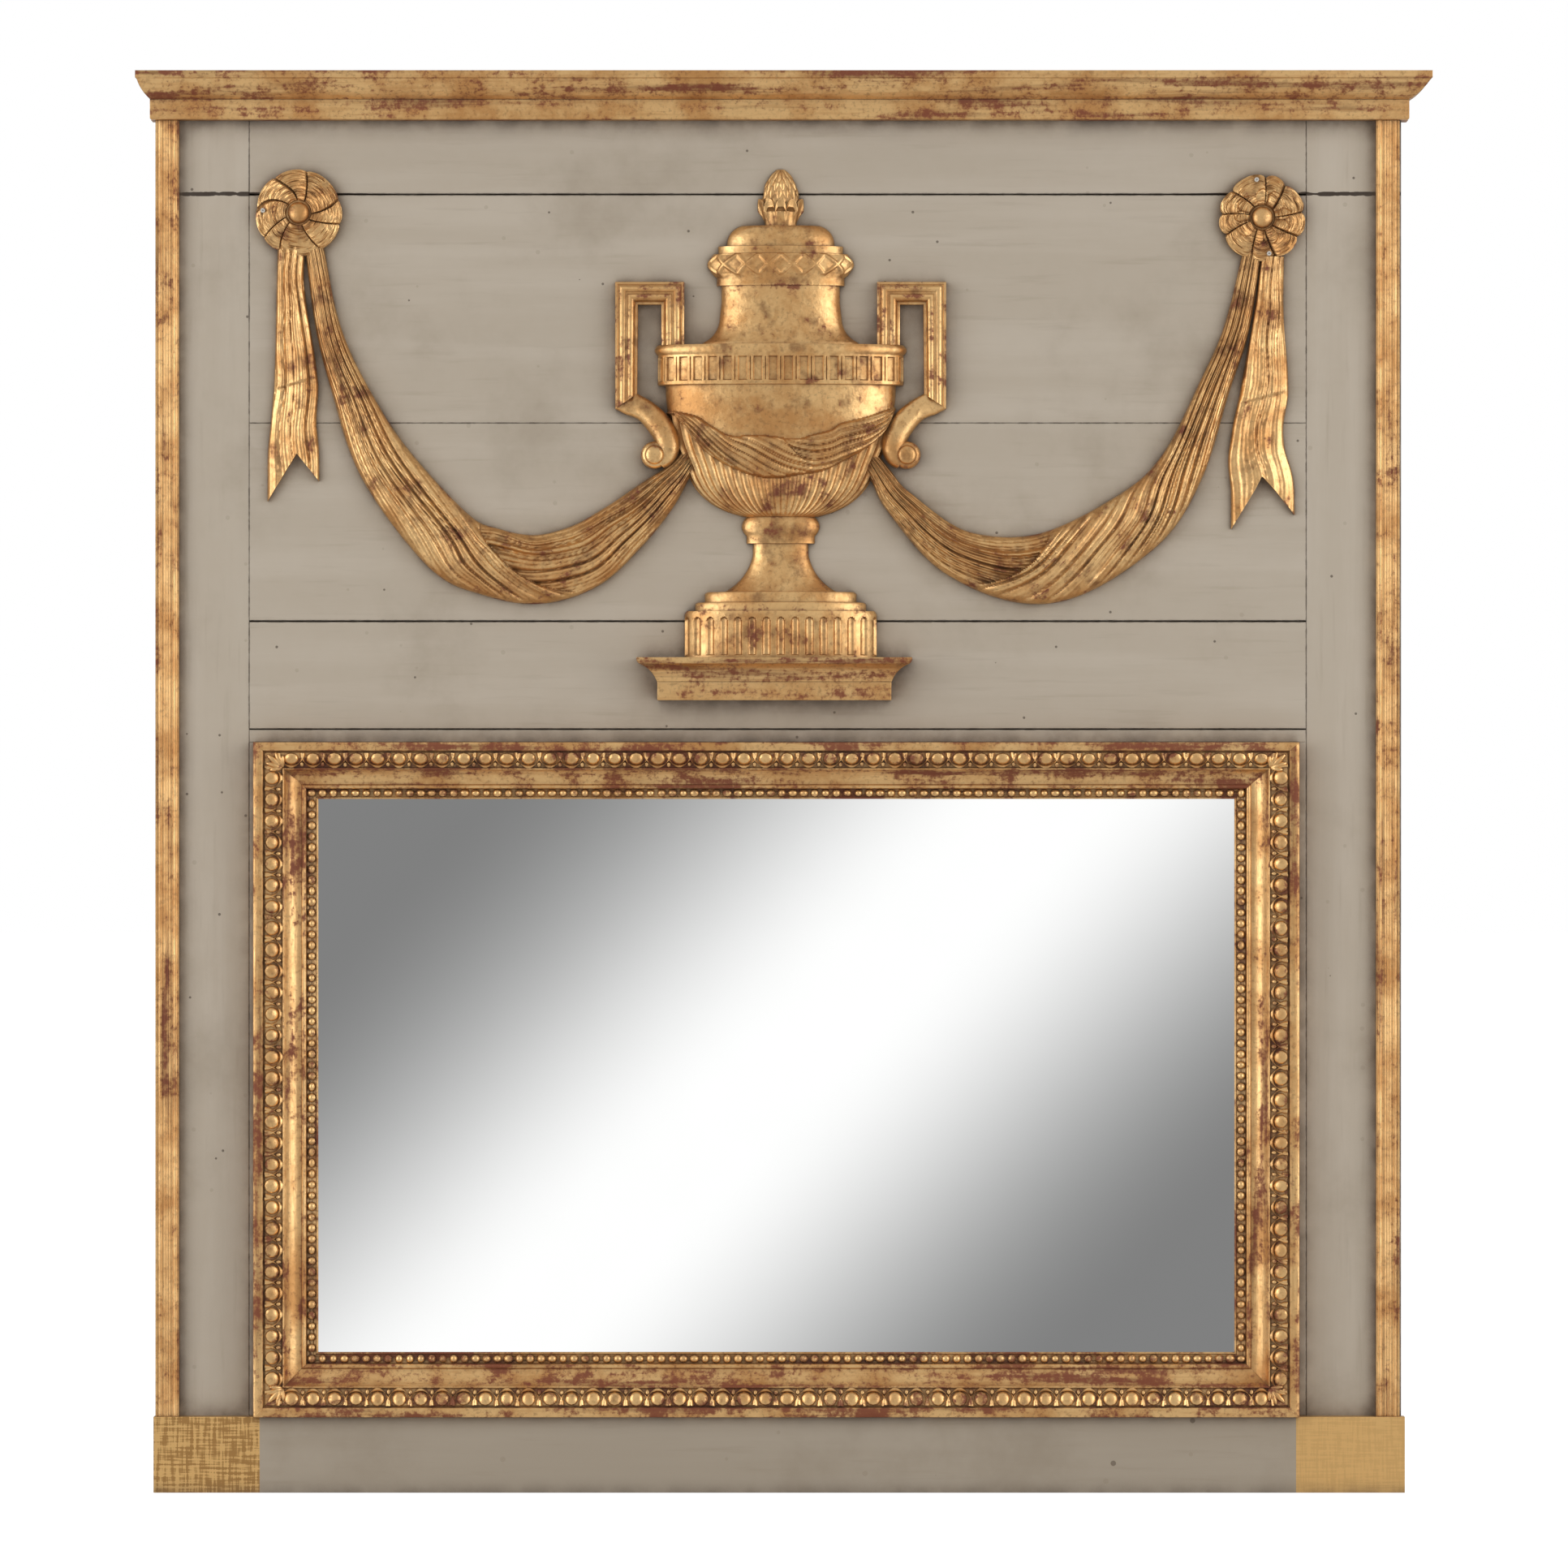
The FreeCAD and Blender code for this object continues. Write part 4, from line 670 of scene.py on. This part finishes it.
def turned(name, profile, node, columns=96, relief=URN_RELIEF, proud=None):
    """A turned piece of the urn from its profile in (half width, up)."""
    turns = even_turns(relief, columns)
    rows = [half_round(half, up, turns, relief, proud) for half, up in profile]
    shell(name, rows, gilt_carving, node)


def flute(share, count, wide):
    """How far across its own flute a place round the wall is: 0 in the middle, 1 at its edge, and over."""
    return abs((share * count) % 1.0 - 0.5) / (wide / 2)


DRUM_LOW, DRUM_TOP = 881.7, 931.0


def drum_flutes(share, x, up):
    across = flute(share, 15, 0.56)
    if not 0 < share < 1 or across >= 1:
        return 0.0
    head = DRUM_TOP - 12 + 5 * math.sqrt(1 - across * across)
    if up < DRUM_LOW + 3 or up > head:
        return 0.0
    return -2.8 * math.sqrt(1 - across ** 2.5)


drum_profile = (ladder((101.7, DRUM_LOW), (101.7, DRUM_TOP - 4), 40)
                + [(101.7, DRUM_TOP - 4), (99.5, DRUM_TOP)])
turned("carved_drum", drum_profile, "urn_drum", 240, proud=drum_flutes)

FOOT_TOP = 1030.8
foot_profile = ([(90.5, DRUM_TOP), (90.5, DRUM_TOP + 7), (88.5, DRUM_TOP + 9), (80.2, DRUM_TOP + 9.5),
                 (80.2, DRUM_TOP + 18), (78, DRUM_TOP + 20)]
                + bulge((59, DRUM_TOP + 20.5), (29.5, DRUM_TOP + 58), -0.22)
                + ladder((29.5, DRUM_TOP + 58), (29.2, FOOT_TOP - 28.6), 3)
                + [(29.2, FOOT_TOP - 28.6), (36, FOOT_TOP - 28.2)]
                + bulge((36, FOOT_TOP - 20.5), (36, FOOT_TOP), 0.5) + [(36, FOOT_TOP)])
turned("carved_foot", foot_profile, "urn_foot")

BOWL_TOP = 1212.0
cloth_top = smooth_path([(-112, 1142), (-88, 1135.4), (-72, 1124.7), (-52, 1115), (-29, 1116), (-6, 1114),
                         (16, 1111.5), (35, 1116.5), (53, 1121.4), (63, 1128), (93, 1136), (120, 1147)])
cloth_low = smooth_path([(-112, 1138), (-101, 1124.7), (-88, 1108), (-72, 1093.4), (-47, 1080), (-22, 1072),
                         (-2, 1071), (20, 1074.5), (44, 1078.6), (68, 1090), (93, 1105), (109, 1123),
                         (120, 1143)])


def ease(value, low, high):
    share = min(max((value - low) / (high - low), 0.0), 1.0)
    return share * share * (3 - 2 * share)


def fold(phase, seed):
    """A row of soft folds with sharp valleys between them, no two alike."""
    phase += 0.35 * noise.noise(Vector((phase * 0.9, seed, 0.0)))
    height = 0.55 + 0.45 * abs(noise.noise(Vector((math.floor(phase) * 1.7, seed, 5.0)))) * 2
    return height * abs(math.sin(math.pi * phase)) ** 0.7


def bowl_cloth(x, up):
    """The height of the drapery on the bowl. Its folds run down across it from the left, then along it, and
    on the right its upper part comes out from under them."""
    low, top = cloth_low(x), cloth_top(x)
    if top - low < 0.5 or not low < up < top:
        return 0.0
    across = (up - low) / (top - low)
    run = 5.2 * (across + (min(x, 34) + 112) / 92 + max(x - 34, 0) / 400)
    folds = fold(run, 1.0) + 0.35 * fold(run * 2.6, 4.0)
    seam = 2 + 36 * (1 - across)
    tucked = ease(across, 0.25, 0.6) * (1 - ease(x, seam + 1, seam + 32)) if x > seam else 0.0
    body = (4 * across * (1 - across)) ** 0.35 * min(1.0, (top - low) / 22)
    return body * (6.0 + 4.2 * folds - 3.4 * tucked)


def bowl_face(share, x, up):
    if share <= 0 or share >= 1:
        return 0.0
    if up > BOWL_TOP - 41.5:
        across = flute(share, 18, 0.58)
        if not BOWL_TOP - 38 < up < BOWL_TOP - 13:
            return 0.0
        if across < 1:
            return -2.6
        return -1.3 if across > 1.58 else 0.0
    gadroon = 0.0
    if up < cloth_low(x) + 1:
        gadroon = -2.4 * abs(math.sin(math.pi * share * 26)) ** 0.6 * ease(up, FOOT_TOP - 2, FOOT_TOP + 12)
    return gadroon + bowl_cloth(x, up)


bowl_belly = smooth_path([(0, 40), (5, 56), (13, 72), (26, 87), (40, 96), (53, 101.5), (75, 111),
                          (100, 117.5), (120, 120.8), (138.2, 121.8)])
bowl_profile = [(bowl_belly(n * 1.2), FOOT_TOP + n * 1.2) for n in range(116)]
bowl_profile += [(121.8, BOWL_TOP - 43), (129, BOWL_TOP - 42.4), (130, BOWL_TOP - 41.6)]
bowl_profile += ladder((130, BOWL_TOP - 41.4), (130, BOWL_TOP - 10.8), 30) + [(130, BOWL_TOP - 10.6)]
bowl_profile += bulge((130.2, BOWL_TOP - 10.4), (130.2, BOWL_TOP), 0.6, 12) + [(130.2, BOWL_TOP)]
turned("carved_bowl", bowl_profile, "urn_bowl", 360, proud=bowl_face)

NECK_TOP, LID_TOP, FINIAL_TOP = 1275.0, 1338.4, 1399.6
neck_profile = (ladder((83, BOWL_TOP), (82, BOWL_TOP + 3), 2)
                + bulge((82, BOWL_TOP + 3), (65, BOWL_TOP + 24), -0.24)
                + ladder((65, BOWL_TOP + 24), (62.6, BOWL_TOP + 45), 6)
                + [(62.6, BOWL_TOP + 45), (62.6, NECK_TOP)])
turned("carved_neck", neck_profile, "urn_neck")


def lattice(share, x, up):
    """Crossing cords on the lid's ring, with sunk diamonds between them."""
    level = (up - NECK_TOP - 11) / 22.5
    if not 0.02 < level < 0.98:
        return 0.0
    near = min(abs((share * 7 + way * level) % 1.0 - 0.5) for way in (-1, 1))
    return 1.3 * (1 - ease(near, 0.05, 0.16)) - 0.4


lid_profile = (ladder((67.5, NECK_TOP), (67.5, NECK_TOP + 10.5), 4)
               + bulge((71, NECK_TOP + 11), (71, NECK_TOP + 33.5), 0.50, 24) + [(71, NECK_TOP + 33.5)]
               + [(66, NECK_TOP + 34), (66, NECK_TOP + 41.5)]
               + bulge((57, NECK_TOP + 42), (42, LID_TOP), 0.35) + [(42, LID_TOP)])
turned("carved_lid", lid_profile, "urn_lid", 240, proud=lattice)


def scales(share, x, up):
    half_level = (up - LID_TOP - 16) / 19
    around = share * 5.5
    return 1.7 * math.sqrt(abs(math.sin(math.pi * (around + half_level))
                               * math.sin(math.pi * (around - half_level))))


cone_profile = (bulge((17.5, LID_TOP + 14), (17.6, LID_TOP + 33), 0.12, 20)
                + bulge((17.6, LID_TOP + 33), (3, FINIAL_TOP - 1.5), 0.2, 30) + [(3, FINIAL_TOP - 1.5)])
turned("pine_cone", cone_profile, "urn_finial", 96, CONE_RELIEF, scales)

calyx_turns = even_turns(CONE_RELIEF, 120)
calyx_rows = []
for n in range(25):
    grown = min(n / 22, 1.0)
    row = []
    for k, turn in enumerate(calyx_turns):
        leaf = abs(math.sin(math.pi * (k / 120 * 5)))
        high = 15 + 13.5 * leaf ** 0.5
        half = 17 + 8.0 * grown ** 1.7 - 1.6 * (1 - leaf) + 0.9 * abs(math.cos(math.pi * (k / 120 * 5))) ** 6
        if n > 22:
            half -= 1.4 * (n - 22)
        row.append((URN_X + half * math.cos(turn), FACE_Y - half * CONE_RELIEF * math.sin(turn),
                    LID_TOP + high * grown))
    calyx_rows.append(row)
shell("leaf_calyx", calyx_rows, gilt_carving)

# ---- Handles --------------------
# Each handle is a square hook of reeded bar, mitred at its corners, and below the last mitre a smooth
# swelling scroll that ends in a round volute. The right one is the left one's mirror image.

BAR = [(-12, 0), (-12, 8.6), (-11.2, 9.5), (-9.6, 9.8), (-9.0, 11.6), (-8.2, 14.4), (-6.9, 16.2),
       (-5.2, 17.2), (-3.4, 17.3), (-2.0, 16.6), (-1.0, 15.2), (1.0, 15.2), (2.0, 16.6), (3.4, 17.3),
       (5.2, 17.2), (6.9, 16.2), (8.2, 14.4), (9.0, 11.6), (9.6, 9.8), (11.2, 9.5), (12, 8.6), (12, 0)]
BAR_INNER, BAR_TOP = -112.4, 1267
VOLUTE_X, VOLUTE_Z = -131.8, 1096
VOLUTE = [(14.5, 0), (14.5, 9), (13.6, 12.5), (12, 14.2), (10.2, 14.8), (9.6, 16.5), (8.6, 18), (6.5, 18.9),
          (3.5, 19.3), (0.6, 19.4)]
SCROLL = [(-161.7, 1152.4, 27.8, 0.62), (-152, 1148.5, 24.5, 0.72), (-141, 1142.5, 24, 0.85),
          (-130, 1132, 26, 0.95), (-121, 1119, 27, 1.0), (-117.5, 1106, 26, 1.0), (-120.5, 1094.5, 22, 0.9),
          (-127, 1087, 15, 0.8)]


def side_of(spot, side):
    x, y, z = spot
    return (x, y, z) if side == "left" else (2 * URN_X - x, y, z)


for side in ("left", "right"):
    corners = [((BAR_INNER, BOWL_TOP - 6), (1, 0)), ((BAR_INNER, BAR_TOP), (1, 1)),
               ((-161.3, BAR_TOP), (-1, 1)), (SCROLL[0][:2], (-0.963, -0.646))]
    rows = []
    for (x, z), (mitre_x, mitre_z) in corners:
        rows.append([side_of((x + mitre_x * across, FACE_Y - high, z + mitre_z * across), side)
                     for across, high in BAR])
    shell("handle_bar_" + side, rows, gilt_carving, "handle_" + side)
    across_path, up_path, wide_path, share_path = smooth_paths(SCROLL)
    rows = []
    for n in range(49):
        place = n * (len(SCROLL) - 1) / 48
        middle = Vector((across_path(place), up_path(place)))
        ahead = Vector((across_path(place + 0.02), up_path(place + 0.02)))
        behind = Vector((across_path(place - 0.02), up_path(place - 0.02)))
        way = (ahead - behind).normalized()
        normal = Vector((way.y, -way.x)).lerp(Vector((-0.831, -0.557)), 1 - ease(place, 0, 0.6))
        row = []
        for k in range(17):
            turn = math.pi * k / 16
            out = -math.cos(turn) * wide_path(place) / 2
            high = 4 + 13 * share_path(place) * math.sin(turn) ** 0.7 if 0 < k < 16 else 0
            spot = middle + normal * out
            row.append(side_of((spot.x, FACE_Y - high, spot.y), side))
        rows.append(row)
    shell("handle_scroll_" + side, rows, gilt_carving)
    turns = [2 * math.pi * k / 32 for k in range(32)]
    rows = [[side_of((VOLUTE_X + radius * math.cos(turn), FACE_Y - high, VOLUTE_Z + radius * math.sin(turn)),
                     side) for turn in turns] for radius, high in VOLUTE]
    shell("handle_volute_" + side, rows, gilt_carving)

# ---- Rosettes --------------------
# Two limewood rosettes of overlapping petals that turn like a pinwheel round a button. Each covers the place
# where a swag and a ribbon tail are gathered and pinned.

ROSETTE_ROUND, PETAL_ROOT, BUTTON_ROUND, BUTTON_EDGE = 46, 13, 11, 12.5
PINS = ((-545.3, 1354, 14.5), (504.4, 1386.7, 12.5), (517.4, 1308.6, 14.5))


def rosette(side, across, up, petals, twist, lead, notch, inner):
    """notch is how deep the petals are parted at the rim, inner how far the small petals stand up."""
    rows = []
    for n in range(64):
        share = 1 - n / 64
        row = []
        for k in range(360):
            turn = 2 * math.pi * k / 360
            round_spot = Vector((math.cos(turn), math.sin(turn), across))
            whole_turn = (turn + lead) / (2 * math.pi) * petals + 0.55 * noise.noise(round_spot * 1.4)
            place = (whole_turn + twist * (1 - share)) % 1.0
            blade = ease(place, 0, 0.12) * (1 - 0.55 * place)
            parted = 1 - notch * (1 - math.sin(math.pi * place) ** 0.5)
            radius = ROSETTE_ROUND * share * (parted if share > 0.5 else 1)
            if radius < BUTTON_ROUND:
                high = BUTTON_EDGE + 6.5 * math.sqrt(1 - (radius / BUTTON_ROUND) ** 2)
            elif radius < PETAL_ROOT:
                high = 8.5
            else:
                length = (radius - PETAL_ROOT) / (ROSETTE_ROUND - PETAL_ROOT)
                wave = noise.noise(round_spot * share * 3)
                high = 6.5 + 2.0 * math.sin(math.pi * length) + 1.3 * wave
                high += (blade * 7.0 - 1.6 * math.sin(math.pi * place) * length) * math.sin(
                    math.pi * min(0.25 + 0.62 * length, 1))
                small = (whole_turn + 0.4) % 1.0
                reach = 31 - 8 * (1 - math.sin(math.pi * small) ** 0.6)
                high += inner * ease(reach - radius, 0, 2) * (0.3 + 0.7 * math.sin(math.pi * small) ** 0.5)
            row.append((across + radius * math.cos(turn), FACE_Y - high, up + radius * math.sin(turn)))
        rows.append(row)
    rim_row = [(x, FACE_Y, z) for x, y, z in rows[0]]
    shell("carved_rosette_" + side, [rim_row] + rows, gilt_carving, "rosette_" + side)


rosette("left", -508, 1352, 8, 0.75, 0.2, 0.05, 0.0)
rosette("right", 510.6, 1347, 9, 0.35, 0.5, 0.12, 2.6)

white_chip, tree, shader, place = finish("chipped_gesso")
feed(tree, shader, {"Base Color": GESSO, "Roughness": 0.8})
for name, surface, slot, wide, proud in (("pin_chips", white_chip, "gilt_wood", 2.3, 0.25),
                                         ("rosette_pins", steel, "steel", 1.1, 0.6)):
    shape = bmesh.new()
    for x, z, high in PINS:
        head = bmesh.ops.create_cone(shape, cap_ends=True, segments=14, radius1=wide, radius2=wide, depth=5)
        for vert in head["verts"]:
            vert.co = Vector((x + vert.co.x, FACE_Y - high - proud - vert.co.z, z + vert.co.y)) * MM
    carving(name, shape, surface)

# ---- Swags --------------------
# Carved cloth that hangs from the rosettes to the urn. The bundle from the rosette crosses over the bundle
# from the urn at the bottom of each swag.


def cloth_run(name, stations, node, lift, columns=72, rows_count=400):
    """Rows across a run of cloth: stations are (X, Z, width, share of the rise)."""
    across_path, up_path, wide_path, share_path = smooth_paths(stations)
    rows = []
    for n in range(rows_count + 1):
        place = (len(stations) - 1) * n / rows_count
        middle = Vector((across_path(place), up_path(place)))
        way = Vector((across_path(place + 0.05) - across_path(place - 0.05),
                      up_path(place + 0.05) - up_path(place - 0.05))).normalized()
        normal = Vector((-way.y, way.x))
        row = []
        for k in range(columns + 1):
            across = k / columns
            spot = middle + normal * (across - 0.5) * wide_path(place)
            high = share_path(place) * lift(place, across) if 0 < k < columns else 0.0
            row.append((spot.x, FACE_Y - high, spot.y))
        rows.append(row)
    shell(name, rows, gilt_carving, node)


def swag_lift(inner_last, seam_start, seam_run, tucked, sweep, seed):
    """The folds of a swag. The bundle from the rosette sweeps across to a seam, where it lies over the other
    one. The seam's start on the inner edge, its run and how far the other is tucked down are in stations."""
    def lift(place, across):
        inner = across if inner_last else 1 - across
        stray = 0.09 * noise.noise(Vector((place * 0.9, inner * 2, seed)))
        run = inner + sweep * max(place - 2.0, 0.0) ** 2 + stray
        past = place - seam_start - seam_run * (1 - inner) ** 1.2
        relief = 6.0 * fold(5.6 * run, seed) + 3.4 * fold(13.5 * run, seed + 7) + 1.8 * ease(past, -0.5, 0.0)
        if past > 0:
            run = inner + 0.03 * place + stray
            relief = 6.0 * fold(6.2 * run, seed + 3) + 3.4 * fold(14.0 * run, seed + 5)
            relief -= 6.5 * (1 - ease(past, 0, tucked)) * ease(inner, 0, 0.25)
        return (4 * inner * (1 - inner)) ** 0.38 * (16.5 + relief)
    return lift


LEFT_SWAG = [(-492, 1316, 20, 0.45), (-478, 1234, 26, 0.6), (-456, 1169, 37, 0.75), (-417, 1087, 58, 0.9),
             (-349, 1005, 70, 1.0), (-304, 983, 72, 1.0), (-256, 975.3, 73, 1.0), (-209, 988, 70, 1.0),
             (-168, 1017, 58, 0.95), (-130, 1052, 43, 0.8), (-106, 1078, 26, 0.6), (-92, 1098, 20, 0.5)]
RIGHT_SWAG = [(501, 1312, 20, 0.45), (484, 1230, 27, 0.6), (461, 1169, 33, 0.75), (424, 1080, 50, 0.9),
              (374, 1023, 69, 1.0), (282.5, 976.5, 75, 1.0), (192, 991, 52, 0.9), (129, 1044, 32, 0.75),
              (109, 1072, 24, 0.6), (96, 1092, 20, 0.5)]
cloth_run("carved_swag_left", LEFT_SWAG, "swag_left", swag_lift(True, 4.3, 2.5, 2.0, 0.06, 21.0))
cloth_run("carved_swag_right", RIGHT_SWAG, "swag_right", swag_lift(False, 4.83, 1.0, 1.2, 0.13, 34.0))

# ---- Ribbon tails --------------------
# A pleated end of ribbon under each rosette, folded over once near its middle and cut in a swallowtail.


def tail(side, stations, notch, tips, turn_up):
    """stations are (up, across, width); the ribbon ends in two tips with a notch between them."""
    middle_path = smooth_path([(-spot[0], spot[1]) for spot in stations])
    wide_path = smooth_path([(-spot[0], spot[2]) for spot in stations])
    top = stations[0][0]
    (left_x, left_z), (right_x, right_z) = tips
    shape = bmesh.new()
    front, back = [], []
    for n in range(141):
        face, flat = [], []
        for k in range(49):
            across = k / 48
            x_end = left_x + (right_x - left_x) * across
            if x_end < notch[0]:
                end = left_z + (notch[1] - left_z) * (x_end - left_x) / (notch[0] - left_x)
            else:
                end = right_z + (notch[1] - right_z) * (right_x - x_end) / (right_x - notch[0])
            up = top + (end - top) * n / 140
            x = middle_path(-up) + (across - 0.5) * wide_path(-up)
            x += (x_end - x) * ease(up, notch[1] + 30, notch[1] - 20)
            wander = 0.4 * noise.noise(Vector((across * 2, up * 0.02, notch[0])))
            pleats = fold(4.0 * across + wander, notch[0]) + 0.35 * fold(10.0 * across + 2 * wander, notch[1])
            edge = (4 * across * (1 - across)) ** 0.3
            over = 2.2 * ease(up, turn_up + 14 * across - 1.5, turn_up + 14 * across + 1.5)
            high = 3.2 + edge * (3.0 + 4.4 * pleats) * (0.75 + 0.25 * ease(up, top, top - 90)) + over * edge
            face.append(shape.verts.new(Vector((x, FACE_Y - high, up)) * MM))
            flat.append(shape.verts.new(Vector((x, FACE_Y, up)) * MM))
        front.append(face)
        back.append(flat)
    strips = [*zip(front, front[1:]), *zip(back, back[1:]), (front[0], back[0]), (front[-1], back[-1]),
              ([row[0] for row in front], [row[0] for row in back]),
              ([row[-1] for row in front], [row[-1] for row in back])]
    for near, far in strips:
        for k in range(len(near) - 1):
            shape.faces.new((near[k], near[k + 1], far[k + 1], far[k]))
    carving("carved_tail_" + side, shape, gilt_carving, "ribbon_tail_" + side)


tail("left", [(1318, -515.8, 29), (1277, -516.8, 29), (1174, -511, 46), (1131, -513.5, 48),
              (1097, -513.6, 53), (1046, -514, 55)], (-510, 1097.8), ((-541, 1047), (-486.6, 1068.4)), 1165)
tail("right", [(1306, 522, 24), (1248, 518, 31), (1163, 513, 51), (1122, 506, 54), (1067, 506.5, 68),
               (1017, 511, 69)], (512, 1073.9), ((478, 1017.7), (545, 1032.8)), 1150)

# ---- Stage: floor, card, lamps and camera --------------------
# A pale floor that mirrors see through, a graded card behind the camera that the glass shows, a soft lamp
# each side, and a long lens square on to the mirror.

CAMERA = Vector((0.0051, -8.05, 0.7483))
SEEN_WIDE, SEEN_FROM = 1.6578, 8.0
CARD_Y = -10.0
GLASS_MIDDLE_X, GLASS_MIDDLE_Z = -0.003, 0.440
FLOOR_HALF, FLOOR_UP = 30, -0.0006
WHITE = (1, 1, 1, 1)


def stage_plane(name, corners, surface):
    mesh = bpy.data.meshes.new(name)
    mesh.from_pydata(corners, [], [(0, 1, 2, 3)])
    mesh.materials.append(surface)
    made = bpy.data.objects.new(name, mesh)
    bpy.context.scene.collection.objects.link(made)


def stage_finish(name):
    """A new material without its shader: the material, its tree and its end node."""
    made = bpy.data.materials.new(name)
    made.use_nodes = True
    tree = made.node_tree
    tree.nodes.remove(tree.nodes["Principled BSDF"])
    return made, tree, tree.nodes["Material Output"]


def either(tree, share, one, other):
    """The shader one, or where share is 1 the other."""
    return add(tree, "ShaderNodeMixShader", {0: share, 1: one, 2: other}).outputs[0]


floor_finish, tree, ends = stage_finish("pale_floor")
ways = add(tree, "ShaderNodeLightPath").outputs
lit = add(tree, "ShaderNodeBsdfDiffuse", {"Color": (0.55, 0.55, 0.55, 1)}).outputs[0]
glow = add(tree, "ShaderNodeEmission", {"Color": WHITE, "Strength": 0.78}).outputs[0]
shown = add(tree, "ShaderNodeAddShader", {0: lit, 1: glow}).outputs[0]
clear = add(tree, "ShaderNodeBsdfTransparent").outputs[0]
floor_seen = either(tree, ways["Is Camera Ray"], lit, shown)
feed(tree, ends, {"Surface": either(tree, ways["Is Glossy Ray"], floor_seen, clear)})
stage_plane("floor", [(across * FLOOR_HALF, away * FLOOR_HALF, FLOOR_UP)
                      for across, away in ((-1, -1), (1, -1), (1, 1), (-1, 1))], floor_finish)

card_finish, tree, ends = stage_finish("graded_card")
place = add(tree, "ShaderNodeTexCoord").outputs["Object"]
grow = (CAMERA.y + CARD_Y) / CAMERA.y
middle_x = CAMERA.x + (GLASS_MIDDLE_X - CAMERA.x) * grow
middle_z = CAMERA.z + (GLASS_MIDDLE_Z - CAMERA.z) * grow
off_axis = calc(tree, "SUBTRACT", calc(tree, "SUBTRACT", part_of(tree, place, 2), middle_z),
                calc(tree, "SUBTRACT", part_of(tree, place, 0), middle_x))
away = times(tree, calc(tree, "ABSOLUTE", off_axis), math.sqrt(0.5))
grade = between(tree, away, 0.034 * grow, 0.429 * grow, 1.02, 0.522)
glow = add(tree, "ShaderNodeEmission", {"Color": WHITE, "Strength": calc(tree, "POWER", grade, 2.3)})
clear = add(tree, "ShaderNodeBsdfTransparent").outputs[0]
glossy = add(tree, "ShaderNodeLightPath").outputs["Is Glossy Ray"]
feed(tree, ends, {"Surface": either(tree, glossy, clear, glow.outputs[0])})
stage_plane("graded_card", [(-1.9, CARD_Y, -1.2), (1.9, CARD_Y, -1.2), (1.9, CARD_Y, 1.6),
                            (-1.9, CARD_Y, 1.6)], card_finish)

world = bpy.data.worlds.new("studio")
bpy.context.scene.world = world
world.use_nodes = True
tree = world.node_tree
ways = add(tree, "ShaderNodeLightPath")
level = add(tree, "ShaderNodeMix", {0: ways.outputs["Is Camera Ray"], 2: 0.64, 3: 1.0}, data_type="FLOAT")
feed(tree, tree.nodes["Background"], {"Color": WHITE, "Strength": level.outputs[0]})

for name, across in (("lamp_left", -2.6), ("lamp_right", 2.6)):
    lamp = bpy.data.lights.new(name, "AREA")
    lamp.shape = "RECTANGLE"
    lamp.size, lamp.size_y = 1.8, 2.8
    lamp.energy = 33.5
    hung = bpy.data.objects.new(name, lamp)
    hung.location = (across, -1.9, 1.2)
    hung.rotation_euler = (Vector((0, 0, 0.75)) - hung.location).to_track_quat("-Z", "Y").to_euler()
    bpy.context.scene.collection.objects.link(hung)

lens = bpy.data.cameras.new("camera")
lens.lens = lens.sensor_width * SEEN_FROM / SEEN_WIDE
lens.clip_end = 100.0
camera = bpy.data.objects.new("camera", lens)
camera.location = CAMERA
camera.rotation_euler = (math.radians(90), 0, 0)
bpy.context.scene.collection.objects.link(camera)
bpy.context.scene.camera = camera
bpy.context.scene.view_settings.view_transform = "Standard"
